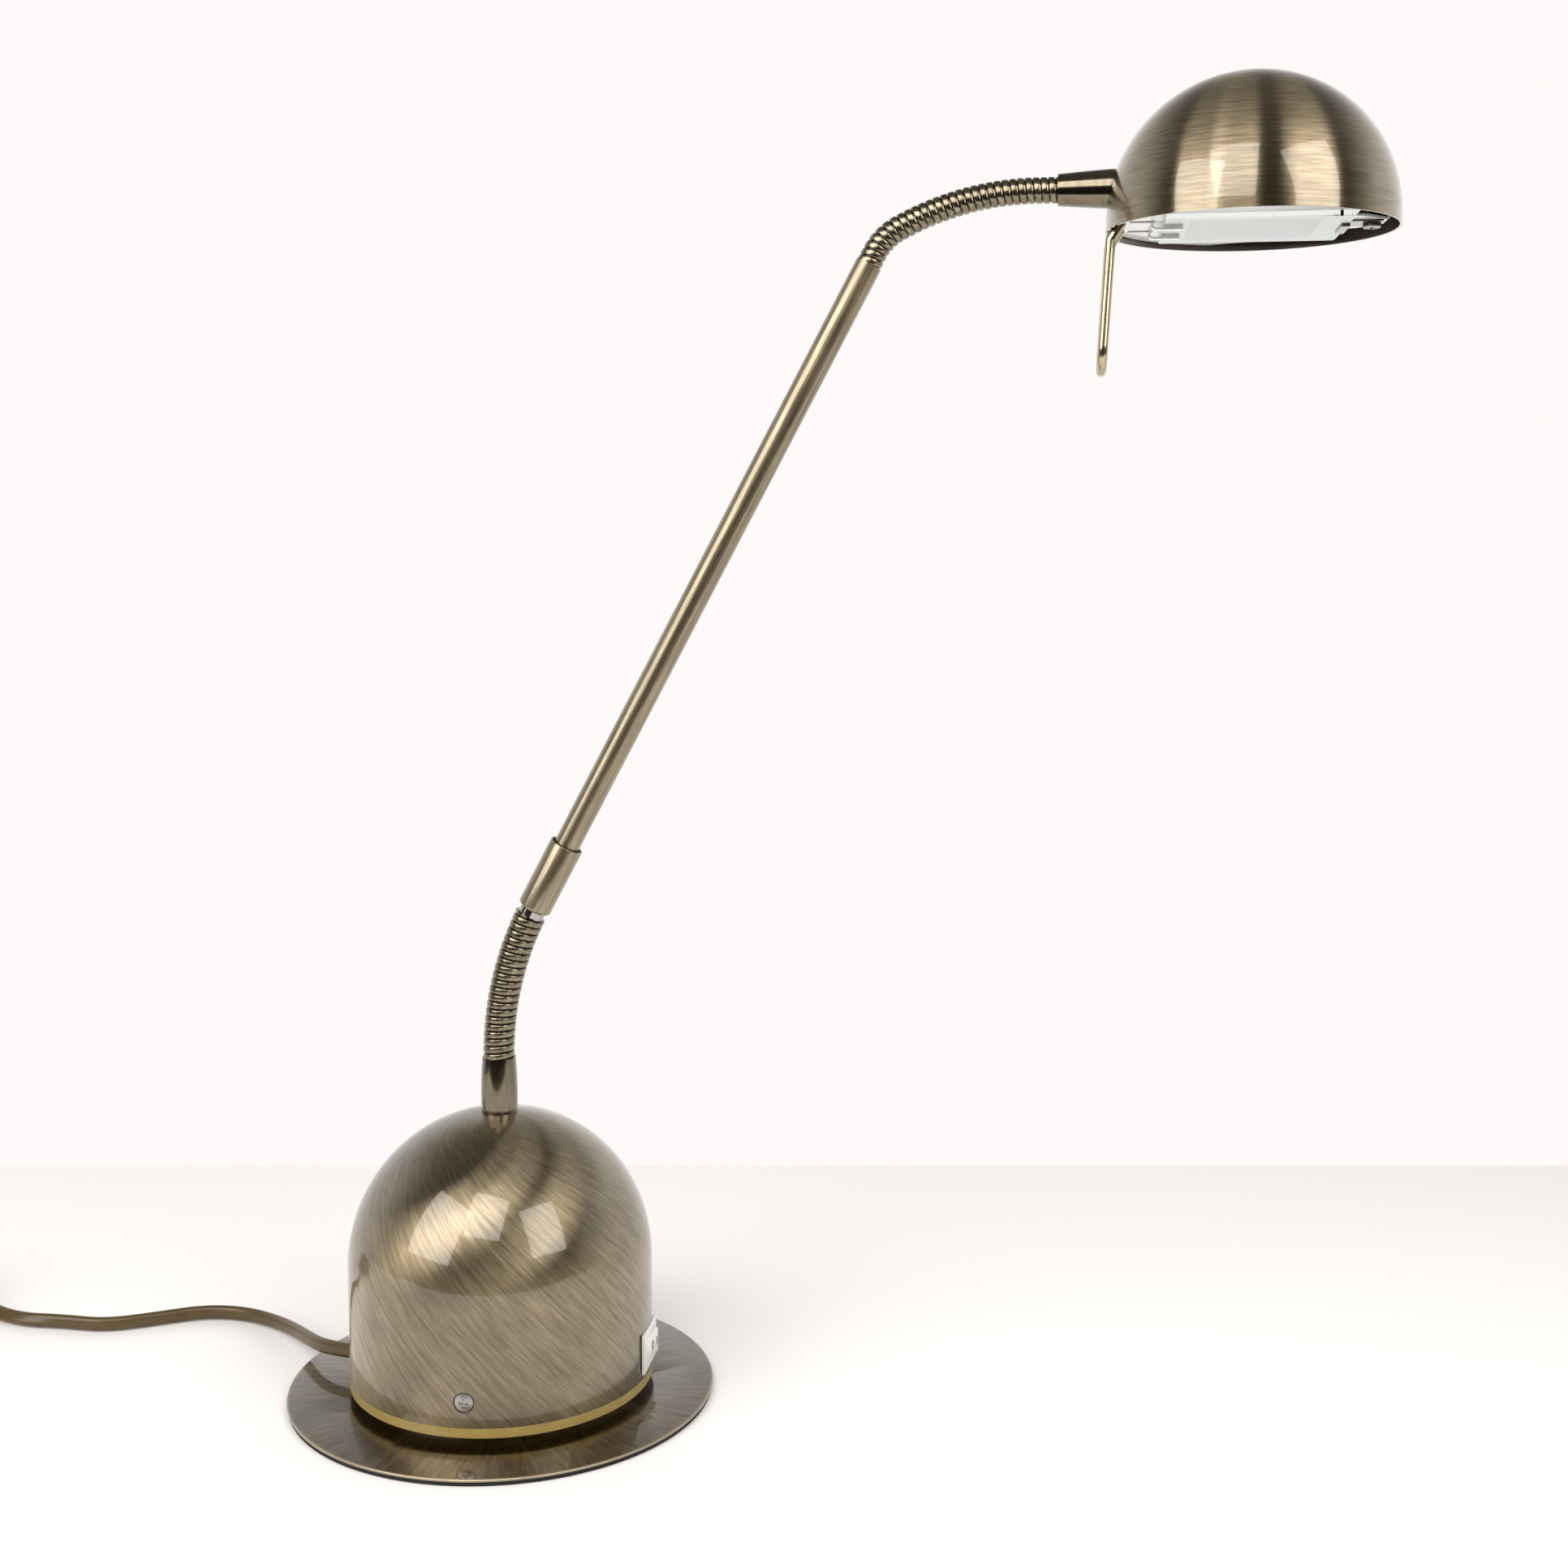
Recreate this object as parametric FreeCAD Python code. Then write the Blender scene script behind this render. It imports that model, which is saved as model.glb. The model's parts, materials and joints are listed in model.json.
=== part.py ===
import FreeCAD
import Part
import math
import os
from FreeCAD import Placement, Rotation, Vector

# Dome shade desk lamp, in millimetres. Z is up, the origin is the middle of the underside,
# and the arm leans towards +X. Every size that can be set by itself is named here once.

# Fits and gaps
RUN_FIT = 0.05      # a shaft or plug in its hole, on the radius
SEAT_GAP = 0.1      # between pieces of one assembly that are screwed together
FREE_GAP = 0.3      # between pieces that move apart

# Base plate and its pad
PAD_T = 1.5
DISC_R = 80.7
DISC_T = 0.9
PAD_INSET = 0.4

# Moulded tray between the plate and the dome
TRAY_FOOT_R = 50.0
TRAY_FOOT_H = 3.75
TRAY_LIP_H = 3.5
TRAY_FLOOR_T = 2.2
TRAY_WALL_T = 2.0
SPIGOT_H = 5.0
LUG_W = 11.0
LUG_T = 6.0
LUG_H = 16.0
PLATE_SCREW_R = 1.5
PLATE_SCREW_HEAD_R = 2.3
PLATE_SCREW_L = 7.0
PLATE_SCREW_CIRCLE = 40.0
PLATE_SCREWS = 3
BOSS_R = 3.6
BOSS_H = 6.0

# Domed housing
DOME_R = 57.5
DOME_WALL = 1.0
DOME_STRAIGHT = 41.3
DOME_SCREW_Z = 19.0
DOME_SCREW_TURN = 2.4
DOME_SCREW_R = 1.7
DOME_SINK_R = 3.8
DOME_SCREW_SUNK = 0.2
DOME_SCREW_CROWN = 0.5
DOME_SCREW_L = 8.0
CROSS_W = 0.9
CROSS_L = 3.6
CROSS_DEEP = 0.8

# Transformer
CORE_W = 54.0
CORE_H = 45.0
CORE_STACK = 22.0
LIMB_W = 18.0
WINDOW_W = 9.0
WINDOW_H = 27.0
CORE_X = -4.0
BOBBIN_T = 1.0
WINDING_R = 2.5
FRAME_T = 1.0
FRAME_FOOT = 9.0
FRAME_SCREW_R = 1.6
FRAME_SCREW_HEAD_R = 3.0

# Rocker switch on the +X side
BEZEL_L = 21.0
BEZEL_H = 15.0
BEZEL_T = 1.1
BEZEL_PROUD = 0.5
BEZEL_ROUND = 0.35
SWITCH_BODY_L = 19.0
SWITCH_BODY_H = 12.8
SWITCH_BODY_D = 13.0
SWITCH_Z = 19.6
ROCKER_R = 7.1
ROCKER_H = 9.2
ROCKER_PIVOT = 2.6
ROCKER_FACE = 3.4
ROCKER_DISH = 1.0
ROCKER_TILT = 8.0
ROCKER_BACK = 4.0
TRUNNION_R = 1.0
TRUNNION_L = 0.8
BLADE_W = 4.8
BLADE_T = 0.8
BLADE_L = 9.0
BLADE_PITCH = 7.0

# Terminal block and cord clamp
BLOCK_L = 15.0
BLOCK_W = 16.0
BLOCK_H = 11.0
BLOCK_GAP = 3.5
BLOCK_Y = 12.0
BLOCK_SCREW_R = 1.3
WIRE_HOLE_R = 1.6
CLAMP_W = 5.0
CLAMP_L = 16.0
CLAMP_T = 2.0
CLAMP_BACK = 11.0
INNER_LEAD_L = 20.0
CLAMP_SCREW_R = 1.2

# Ferrule on the dome and the root of the lower neck
FERRULE_H = 20.85
FERRULE_BOTTOM_R = 6.9
FERRULE_BELLY_R = 7.0
FERRULE_TOP_R = 6.35
FERRULE_FLOOR = 2.0
ROOT_R = 5.3
ROOT_STUB_R = 4.9
ROOT_STUB_L = 8.0
ROOT_NUT_AF = 14.0
ROOT_NUT_T = 3.0
ROOT_WASHER_R = 9.0
ROOT_WASHER_T = 1.2

# Goosenecks: lengths run along the axis, turns are in degrees from the heading before
LOWER_BAND_R = 5.95
LOWER_GROOVE_R = 5.0
LOWER_BORE_R = 3.2
LOWER_BEND_R = 122.0
LOWER_TURN = 28.0
LOWER_BANDS = 20
UPPER_BAND_R = 4.6
UPPER_GROOVE_R = 3.8
UPPER_BORE_R = 2.5
UPPER_LEAD_IN = 4.0
UPPER_TIGHT_R = 21.0
UPPER_TIGHT_TURN = 34.0
UPPER_WIDE_R = 103.0
UPPER_LEAD_OUT = 7.6
UPPER_BANDS = 28
GROOVE_W = 0.62
FLANK_W = 0.12
NECK_SECTIONS = 4

# Polished end of the lower neck, sleeve, arm tube
COLLAR_R = 4.9
COLLAR_L = 3.0
FLANGE_R = 5.7
FLANGE_T = 2.0
NECK_END_L = 8.0
SLEEVE_R = 6.4
SLEEVE_WALL = 0.55
SLEEVE_L = 27.5
SLEEVE_LIP = 1.0
SLEEVE_ROUND = 1.2
TUBE_R = 4.85
TUBE_WALL = 0.5
TUBE_TOP = 267.3
NIPPLE_L = 15.0
NIPPLE_BORE_R = 2.6
LEAD_R = 1.6
UPPER_ROOT_L = 12.0

# Shade and its ferrule
SHADE_REACH = 66.6
SHADE_R = 50.0
SHADE_WALL = 0.8
SHADE_SKIRT = 3.6
SHADE_DROP = 15.3
SHADE_FERRULE_R = 5.55
SHADE_FERRULE_MID_R = 6.35
SHADE_FERRULE_MID_L = 10.0
SHADE_FERRULE_END_R = 6.85
SHADE_FERRULE_MOUTH = 4.0
SHADE_STUB_R = 3.9
SHADE_STUB_L = 12.5
SHADE_NUT_AF = 13.0
SHADE_NUT_T = 3.4

# Strap that carries the reflector
STRAP_W = 10.0
STRAP_T = 1.2
STRAP_RISE = SHADE_NUT_AF / math.sqrt(3) + STRAP_T + FREE_GAP
STRAP_DROP = 7.0
STRAP_FOOT_L = 11.0

# Reflector pan, measured from the middle of the shade
PAN_RECESS = 2.0
PAN_T = 0.8
PAN_R = 48.3
PAN_SIDE_X = -12.0
PAN_FRONT_X = 33.0
PAN_FRONT_HALF = 28.0
TONGUE_HALF = 14.0
TONGUE_END_X = 45.0
TONGUE_ROUND = 5.0
TROUGH_HALF = 22.0
TROUGH_DRAFT = 4.0
TROUGH_H = 16.5
SLOT_X = -42.0
SLOT_L = 9.0
SLOT_W = 4.0
SLOT_PITCH = 21.0
HOOK_L = 9.0

# Safety glass, clip and screw
GLASS_T = 2.0
GLASS_L = 62.0
GLASS_HALF = 27.0
GLASS_MID_X = 0.5
CLIP_W = 17.0
CLIP_T = 0.5
CLIP_OVER = 2.2
CLIP_L = 14.5
CLIP_SCREW_X = 40.5
CLIP_SCREW_R = 1.5
CLIP_SCREW_HEAD_R = 3.1
CLIP_SCREW_HEAD_H = 1.5

# Lamp holder and capsule
HOLDER_L = 10.0
HOLDER_W = 15.0
HOLDER_H = 11.0
HOLDER_BACK_X = -17.5
HOLDER_SCREW_R = 1.2
CAPSULE_R = 4.6
CAPSULE_L = 22.0
CAPSULE_PINCH_L = 7.0
CAPSULE_PINCH_W = 8.0
CAPSULE_PINCH_T = 3.2
PIN_R = 0.5
PIN_PITCH = 4.0
PIN_L = 5.0
HOLDER_LEAD_R = 1.5

# Wire handle
WIRE_R = 1.8
HANDLE_X = -44.95
HANDLE_HALF = 8.2
HANDLE_DROP = 48.1
HANDLE_JOG = 3.4
HANDLE_KNEE = 3.4
HANDLE_LEAN = 2.05
HANDLE_HOOK = 5.0
HANDLE_CORNER = 2.0

# Cord: the route of the free stretch, from the dome's wall to the coil
CORD_R = 2.8
CORD_LIFT = 0.1
CORD_EXIT_Y = -6.0
CORD_HEADING = 160.0
CORD_DIP = 4.3
CORD_HOLE_GAP = 0.4
COIL_X = -283.0
COIL_Y = 16.0
COIL_OUTER_R = 35.8
COIL_INNER_R = 23.6
COIL_LAYERS = 4
COIL_TURNS = 2.0
COIL_STEP = 6.1
TIE_T = 0.8
TIE_W = 4.0
TIE_GAP = 0.25
TIE_ANGLE = 200.0

# Flat two-pin plug
PLUG_L = 34.0
PLUG_FRONT_W = 25.0
PLUG_BACK_W = 13.0
PLUG_H = 13.6
PLUG_NOSE_T = 4.0
PLUG_RELIEF_L = 20.0
PLUG_RELIEF_R = 4.2
PLUG_PIN_R = 2.0
PLUG_PIN_L = 19.0
PLUG_PIN_PITCH = 18.2

# Levels and places worked out from the sizes above
DISC_TOP = PAD_T + DISC_T
LIP_BOTTOM = DISC_TOP + TRAY_FOOT_H
LIP_TOP = LIP_BOTTOM + TRAY_LIP_H
DOME_BOTTOM = LIP_TOP + SEAT_GAP / 2
DOME_CENTRE = DOME_BOTTOM + DOME_STRAIGHT
DOME_INNER_R = DOME_R - DOME_WALL
TRAY_FLOOR_TOP = LIP_BOTTOM + TRAY_FLOOR_T
BLOCK_X = CORE_X - CORE_STACK / 2 - WINDOW_W - BLOCK_GAP - BLOCK_L / 2
CORD_EXIT = (
    -math.sqrt(DOME_R**2 - CORD_EXIT_Y**2), CORD_EXIT_Y, LIP_TOP + 2 * SEAT_GAP + CORD_R
)
CORD_HOLE_R = CORD_R + CORD_HOLE_GAP
LUG_FACE_R = DOME_INNER_R - SEAT_GAP

UP = Vector(0, 0, 1)
ORIGIN = Vector(0, 0, 0)


def export(name, *solids):
    """Writes one node, as one solid or as a group of separate solids."""
    shape = solids[0] if len(solids) == 1 else Part.makeCompound(list(solids))
    shape.exportStep("parts/" + name + ".step")


def rod(radius, z0, z1, x=0.0, y=0.0):
    return Part.makeCylinder(radius, z1 - z0, Vector(x, y, z0), UP)


def ring(outer, inner, z0, z1, x=0.0, y=0.0):
    return rod(outer, z0, z1, x, y).cut(rod(inner, z0 - 1, z1 + 1, x, y))


def block(x0, x1, y0, y1, z0, z1):
    return Part.makeBox(x1 - x0, y1 - y0, z1 - z0, Vector(x0, y0, z0))


def joined(first, *rest):
    """One solid from pieces that overlap."""
    shape = first.fuse(list(rest)).removeSplitter()
    return shape.Solids[0] if len(shape.Solids) == 1 else shape


def turned(profile):
    """Solid of revolution about Z through the origin from (radius, z) corners."""
    points = [Vector(r, 0, z) for r, z in profile]
    face = Part.Face(Part.makePolygon(points + points[:1]))
    return face.revolve(ORIGIN, UP, 360)


def section_face(edges):
    return Part.Face(Part.Wire(Part.__sortEdges__(edges)))


def arc_edge(start, middle, end):
    return Part.Arc(start, middle, end).toShape()


def hexagon(across_flats, z0, z1, bore):
    radius = across_flats / math.sqrt(3)
    corners = [
        Vector(radius * math.cos(math.radians(60 * k)), radius * math.sin(math.radians(60 * k)), z0)
        for k in range(6)
    ]
    prism = Part.Face(Part.makePolygon(corners + corners[:1])).extrude(Vector(0, 0, z1 - z0))
    return prism.cut(rod(bore, z0 - 1, z1 + 1))


def cross_recess(deep_z, top_z):
    """Cutter for a cross recess on the axis, from deep_z up past top_z."""
    half = CROSS_L / 2
    wide = CROSS_W / 2
    bar = block(-half, half, -wide, wide, deep_z, top_z + 1)
    return bar.fuse(block(-wide, wide, -half, half, deep_z, top_z + 1))


def tilted(shape, point, heading):
    """Puts a shape that was made along +Z at a point, with +Z leaned over towards +X."""
    moved = shape.copy()
    moved.Placement = Placement(point, Rotation(Vector(0, 1, 0), heading))
    return moved


# Axis of the arm: lower neck, sleeve and tube, upper neck


def walk(start, heading, stretches, length):
    """Point and heading (degrees from upright) at a length along (length, turn) stretches."""
    point = Vector(start)
    angle = heading
    left = length
    for number, (run, turn) in enumerate(stretches):
        last = number == len(stretches) - 1
        part = left if last else min(left, run)
        share = turn * part / run
        a0 = math.radians(angle)
        a1 = math.radians(angle + share)
        if abs(turn) < 1e-9:
            point = point + Vector(math.sin(a0), 0, math.cos(a0)) * part
        else:
            radius = run / math.radians(turn)
            point = point + Vector(
                radius * (math.cos(a0) - math.cos(a1)), 0, radius * (math.sin(a1) - math.sin(a0))
            )
        angle = angle + share
        left = left - part
        if left <= 1e-9:
            break
    return point, angle


DOME_TOP = DOME_CENTRE + DOME_R
FERRULE_SEAT = DOME_CENTRE + math.sqrt(DOME_R**2 - FERRULE_BOTTOM_R**2) + RUN_FIT
NECK_START = Vector(0, 0, FERRULE_SEAT + FERRULE_H)
LOWER_PATH = [(LOWER_BEND_R * math.radians(LOWER_TURN), LOWER_TURN)]
LOWER_LENGTH = LOWER_PATH[0][0]
LOWER_RIBBED = LOWER_LENGTH - COLLAR_L
SLEEVE_START, ARM_HEADING = walk(NECK_START, 0.0, LOWER_PATH, LOWER_LENGTH)
TUBE_END, _ = walk(SLEEVE_START, ARM_HEADING, [(TUBE_TOP, 0.0)], TUBE_TOP)
UPPER_WIDE_TURN = 90.0 - LOWER_TURN - UPPER_TIGHT_TURN
UPPER_PATH = [
    (UPPER_LEAD_IN, 0.0),
    (UPPER_TIGHT_R * math.radians(UPPER_TIGHT_TURN), UPPER_TIGHT_TURN),
    (UPPER_WIDE_R * math.radians(UPPER_WIDE_TURN), UPPER_WIDE_TURN),
    (UPPER_LEAD_OUT, 0.0),
]
UPPER_LENGTH = sum(run for run, turn in UPPER_PATH)
NECK_MOUTH, SHADE_HEADING = walk(TUBE_END, ARM_HEADING, UPPER_PATH, UPPER_LENGTH)
SHADE_X = NECK_MOUTH.x + SHADE_REACH


def arm_point(length):
    return walk(SLEEVE_START, ARM_HEADING, [(TUBE_TOP, 0.0)], length)[0]


# Base


def base_pad():
    return rod(DISC_R - PAD_INSET, 0, PAD_T)


def plate_screw_places():
    for k in range(PLATE_SCREWS):
        angle = math.radians(360 * k / PLATE_SCREWS)
        yield PLATE_SCREW_CIRCLE * math.cos(angle), PLATE_SCREW_CIRCLE * math.sin(angle)


def base_disc():
    edge = DISC_T / 3
    disc = turned([
        (0, PAD_T), (DISC_R, PAD_T), (DISC_R, DISC_TOP - edge), (DISC_R - edge, DISC_TOP), (0, DISC_TOP),
    ])
    for x, y in plate_screw_places():
        disc = disc.cut(countersunk(PLATE_SCREW_HEAD_R + RUN_FIT, PLATE_SCREW_R + RUN_FIT, x, y))
    return disc


def countersunk(head_r, shank_r, x, y):
    """Head cone at the plate's underside and the hole through the plate."""
    cone = Part.makeCone(head_r, shank_r, head_r - shank_r, Vector(x, y, PAD_T), UP)
    return cone.fuse(rod(shank_r, PAD_T, DISC_TOP + 1, x, y))


def plate_screws():
    screws = []
    for x, y in plate_screw_places():
        head_h = PLATE_SCREW_HEAD_R - PLATE_SCREW_R
        head = Part.makeCone(
            PLATE_SCREW_HEAD_R, PLATE_SCREW_R, head_h, Vector(x, y, PAD_T + SEAT_GAP / 2), UP
        )
        shank = rod(PLATE_SCREW_R, PAD_T + head_h, PAD_T + PLATE_SCREW_L, x, y)
        screws.append(joined(head, shank))
    return screws


def base_tray():
    inner = TRAY_FOOT_R - TRAY_WALL_T
    spigot_r = DOME_INNER_R - SEAT_GAP
    tray = turned([
        (0, LIP_BOTTOM), (inner, LIP_BOTTOM), (inner, DISC_TOP), (TRAY_FOOT_R, DISC_TOP),
        (TRAY_FOOT_R, LIP_BOTTOM), (DOME_R, LIP_BOTTOM), (DOME_R, LIP_TOP), (spigot_r, LIP_TOP),
        (spigot_r, LIP_TOP + SPIGOT_H), (spigot_r - TRAY_WALL_T, LIP_TOP + SPIGOT_H),
        (spigot_r - TRAY_WALL_T, TRAY_FLOOR_TOP), (0, TRAY_FLOOR_TOP),
    ])
    bosses = [rod(BOSS_R, DISC_TOP, LIP_BOTTOM + BOSS_H, x, y) for x, y in plate_screw_places()]
    barrel = rod(LUG_FACE_R, TRAY_FLOOR_TOP - 1, TRAY_FLOOR_TOP + LUG_H)
    lugs = [
        block(-LUG_W / 2, LUG_W / 2, LUG_FACE_R - LUG_T, LUG_FACE_R, TRAY_FLOOR_TOP - 0.5,
              TRAY_FLOOR_TOP + LUG_H).common(barrel),
    ]
    lugs.append(lugs[0].mirror(ORIGIN, Vector(0, 1, 0)))
    for lug in lugs:
        lug.rotate(ORIGIN, UP, DOME_SCREW_TURN)
    tray = tray.fuse(bosses + lugs)
    cutters = [rod(PLATE_SCREW_R + RUN_FIT, 0, PAD_T + PLATE_SCREW_L + 1, x, y)
               for x, y in plate_screw_places()]
    for side in (1, -1):
        cutters.append(radial(rod(DOME_SCREW_R + RUN_FIT, -DOME_SCREW_L - 1, 1), side * 90 + DOME_SCREW_TURN))
    for x, y in frame_screw_places():
        cutters.append(rod(FRAME_SCREW_R, LIP_BOTTOM + 0.6, LIP_TOP + 6, x, y))
    switch_room = block(
        DOME_INNER_R - SWITCH_BODY_D, DOME_R - DOME_WALL, -SWITCH_BODY_L / 2 - 1, SWITCH_BODY_L / 2 + 1,
        SWITCH_Z - SWITCH_BODY_H / 2 - FREE_GAP, LIP_TOP + SPIGOT_H + 1,
    )
    cutters.append(switch_room)
    cutters.append(cord_bore(CORD_HOLE_R, 9, 6))
    return joined(tray.cut(cutters))


def radial(shape, angle):
    """Puts a shape made along +Z at the dome's wall, with +Z pointing outwards at the screw level."""
    a = math.radians(angle)
    moved = shape.copy()
    outward = Vector(math.cos(a), math.sin(a), 0)
    moved.Placement = Placement(
        outward * LUG_FACE_R + Vector(0, 0, DOME_SCREW_Z), Rotation(UP, outward)
    )
    return moved


def cord_heading():
    """Direction in which the cord leaves the dome."""
    level = Vector(math.cos(math.radians(CORD_HEADING)), math.sin(math.radians(CORD_HEADING)), 0)
    dip = math.radians(CORD_DIP)
    return level * math.cos(dip) - UP * math.sin(dip)


def cord_bore(radius, inward, outward):
    """Cylinder on the cord's axis, from inside to outside the dome's wall."""
    start = Vector(*CORD_EXIT) - cord_heading() * inward
    return Part.makeCylinder(radius, inward + outward, start, cord_heading())


def base_dome():
    top = DOME_CENTRE
    mid = math.sqrt(0.5)
    profile = [
        Part.makeLine(Vector(DOME_INNER_R, 0, DOME_BOTTOM), Vector(DOME_R, 0, DOME_BOTTOM)),
        Part.makeLine(Vector(DOME_R, 0, DOME_BOTTOM), Vector(DOME_R, 0, top)),
        arc_edge(Vector(DOME_R, 0, top), Vector(DOME_R * mid, 0, top + DOME_R * mid),
                 Vector(0, 0, top + DOME_R)),
        Part.makeLine(Vector(0, 0, top + DOME_R), Vector(0, 0, top + DOME_INNER_R)),
        arc_edge(Vector(0, 0, top + DOME_INNER_R),
                 Vector(DOME_INNER_R * mid, 0, top + DOME_INNER_R * mid), Vector(DOME_INNER_R, 0, top)),
        Part.makeLine(Vector(DOME_INNER_R, 0, top), Vector(DOME_INNER_R, 0, DOME_BOTTOM)),
    ]
    shell = section_face(profile).revolve(ORIGIN, UP, 360)
    cutters = [rod(ROOT_STUB_R + RUN_FIT, DOME_CENTRE, DOME_TOP + 1)]
    for side in (1, -1):
        cutters.append(radial(dome_screw_seat(RUN_FIT, 0.0)[0], side * 90 + DOME_SCREW_TURN))
    cutters.append(block(
        DOME_R - 8, DOME_R + 2, -SWITCH_BODY_L / 2 - SEAT_GAP, SWITCH_BODY_L / 2 + SEAT_GAP,
        SWITCH_Z - SWITCH_BODY_H / 2 - SEAT_GAP, SWITCH_Z + SWITCH_BODY_H / 2 + SEAT_GAP,
    ))
    cutters.append(cord_bore(CORD_HOLE_R, 6, 6))
    x, y, z = CORD_EXIT
    cutters.append(block(-DOME_R - 2, x + 5, y - CORD_HOLE_R, y + CORD_HOLE_R, DOME_BOTTOM - 1, z))
    return shell.cut(cutters)


def dome_screw_seat(gap, sunk):
    """Countersunk head and shank of a dome screw, along +Z from the lug's face."""
    rise = DOME_WALL + SEAT_GAP
    head_h = rise - sunk
    head_r = DOME_SCREW_R + (DOME_SINK_R - DOME_SCREW_R) * head_h / rise
    head = Part.makeCone(DOME_SCREW_R + gap, head_r + gap, head_h)
    return head.fuse(rod(DOME_SCREW_R + gap, -DOME_SCREW_L, 0.5)), head_r, head_h


def dome_screws():
    body, head_r, head_h = dome_screw_seat(0.0, DOME_SCREW_SUNK)
    crown_r = (head_r**2 + DOME_SCREW_CROWN**2) / (2 * DOME_SCREW_CROWN)
    top = head_h + DOME_SCREW_CROWN
    ball = Part.makeSphere(crown_r, Vector(0, 0, top - crown_r))
    crown = ball.common(rod(head_r, head_h, top + 1))
    screw = joined(body, crown).cut(cross_recess(top - CROSS_DEEP, top))
    return [radial(screw, side * 90 + DOME_SCREW_TURN) for side in (1, -1)]


# Transformer and mains parts inside the dome


def core_span():
    bottom = TRAY_FLOOR_TOP + FRAME_T + SEAT_GAP
    return bottom, bottom + CORE_H


def transformer_core():
    bottom, top = core_span()
    core = block(CORE_X - CORE_STACK / 2, CORE_X + CORE_STACK / 2, -CORE_W / 2, CORE_W / 2, bottom, top)
    window_z = bottom + (CORE_H - WINDOW_H) / 2
    for side in (1, -1):
        y0, y1 = sorted((side * LIMB_W / 2, side * (LIMB_W / 2 + WINDOW_W)))
        core = core.cut(block(CORE_X - CORE_STACK, CORE_X + CORE_STACK, y0, y1, window_z, window_z + WINDOW_H))
    return core


def winding_box(inside, outside, z0, z1, corner):
    """Rectangular ring round the middle limb, inside and outside given as growth from the limb."""
    outer = block(
        CORE_X - CORE_STACK / 2 - outside, CORE_X + CORE_STACK / 2 + outside,
        -LIMB_W / 2 - outside, LIMB_W / 2 + outside, z0, z1,
    )
    upright = [e for e in outer.Edges if abs(e.tangentAt(e.FirstParameter).z) > 0.9]
    outer = outer.makeFillet(corner, upright)
    inner = block(
        CORE_X - CORE_STACK / 2 - inside, CORE_X + CORE_STACK / 2 + inside,
        -LIMB_W / 2 - inside, LIMB_W / 2 + inside, z0 - 1, z1 + 1,
    )
    return outer.cut(inner)


def bobbin_levels():
    bottom, _ = core_span()
    z0 = bottom + (CORE_H - WINDOW_H) / 2 + SEAT_GAP
    z1 = z0 + WINDOW_H - 2 * SEAT_GAP
    return z0, (z0 + z1) / 2, z1


def transformer_bobbin():
    z0, middle, z1 = bobbin_levels()
    flange = WINDOW_W - SEAT_GAP
    tube = winding_box(SEAT_GAP, SEAT_GAP + BOBBIN_T, z0, z1, BOBBIN_T / 2)
    flanges = [
        winding_box(SEAT_GAP, flange, z0, z0 + BOBBIN_T, WINDING_R),
        winding_box(SEAT_GAP, flange, middle - BOBBIN_T / 2, middle + BOBBIN_T / 2, WINDING_R),
        winding_box(SEAT_GAP, flange, z1 - BOBBIN_T, z1, WINDING_R),
    ]
    return joined(tube, *flanges)


def windings():
    z0, middle, z1 = bobbin_levels()
    inside = 2 * SEAT_GAP + BOBBIN_T
    full = WINDOW_W - BOBBIN_T
    lower = winding_box(inside, full, z0 + BOBBIN_T + SEAT_GAP, middle - BOBBIN_T / 2 - SEAT_GAP, WINDING_R)
    upper = winding_box(inside, full, middle + BOBBIN_T / 2 + SEAT_GAP, z1 - BOBBIN_T - SEAT_GAP, WINDING_R)
    return lower, upper


def frame_screw_places():
    y = CORE_W / 2 + SEAT_GAP + FRAME_T + FRAME_FOOT / 2
    return [(CORE_X, y), (CORE_X, -y)]


def transformer_frame():
    bottom, top = core_span()
    inner = CORE_W / 2 + SEAT_GAP
    outer = inner + FRAME_T
    x0 = CORE_X - CORE_STACK / 2 + 2
    x1 = CORE_X + CORE_STACK / 2 - 2
    hoop = block(x0, x1, -outer, outer, TRAY_FLOOR_TOP + SEAT_GAP / 2, top + SEAT_GAP + FRAME_T)
    hoop = hoop.cut(block(x0 - 1, x1 + 1, -inner, inner, TRAY_FLOOR_TOP - 1, top + SEAT_GAP))
    feet = []
    for side in (1, -1):
        y0, y1 = sorted((side * inner, side * (outer + FRAME_FOOT)))
        low = TRAY_FLOOR_TOP + SEAT_GAP / 2
        feet.append(block(x0, x1, y0, y1, low, low + FRAME_T))
    frame = joined(hoop, *feet)
    return frame.cut([rod(FRAME_SCREW_R + RUN_FIT, 0, bottom + 3, x, y) for x, y in frame_screw_places()])


def transformer_screws():
    seat = TRAY_FLOOR_TOP + SEAT_GAP / 2 + FRAME_T
    screws = []
    for x, y in frame_screw_places():
        head = rod(FRAME_SCREW_HEAD_R, seat + RUN_FIT, seat + 2, x, y)
        shank = rod(FRAME_SCREW_R - RUN_FIT, LIP_BOTTOM + 0.7, seat + 1, x, y)
        screws.append(joined(head, shank))
    return screws


def block_bottom():
    return TRAY_FLOOR_TOP + SEAT_GAP / 2


def wire_places():
    """Middle of each of the block's four terminals."""
    return [(BLOCK_X + dx, BLOCK_Y + dy)
            for dy in (-BLOCK_W / 4, BLOCK_W / 4) for dx in (-BLOCK_L / 4, BLOCK_L / 4)]


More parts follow.
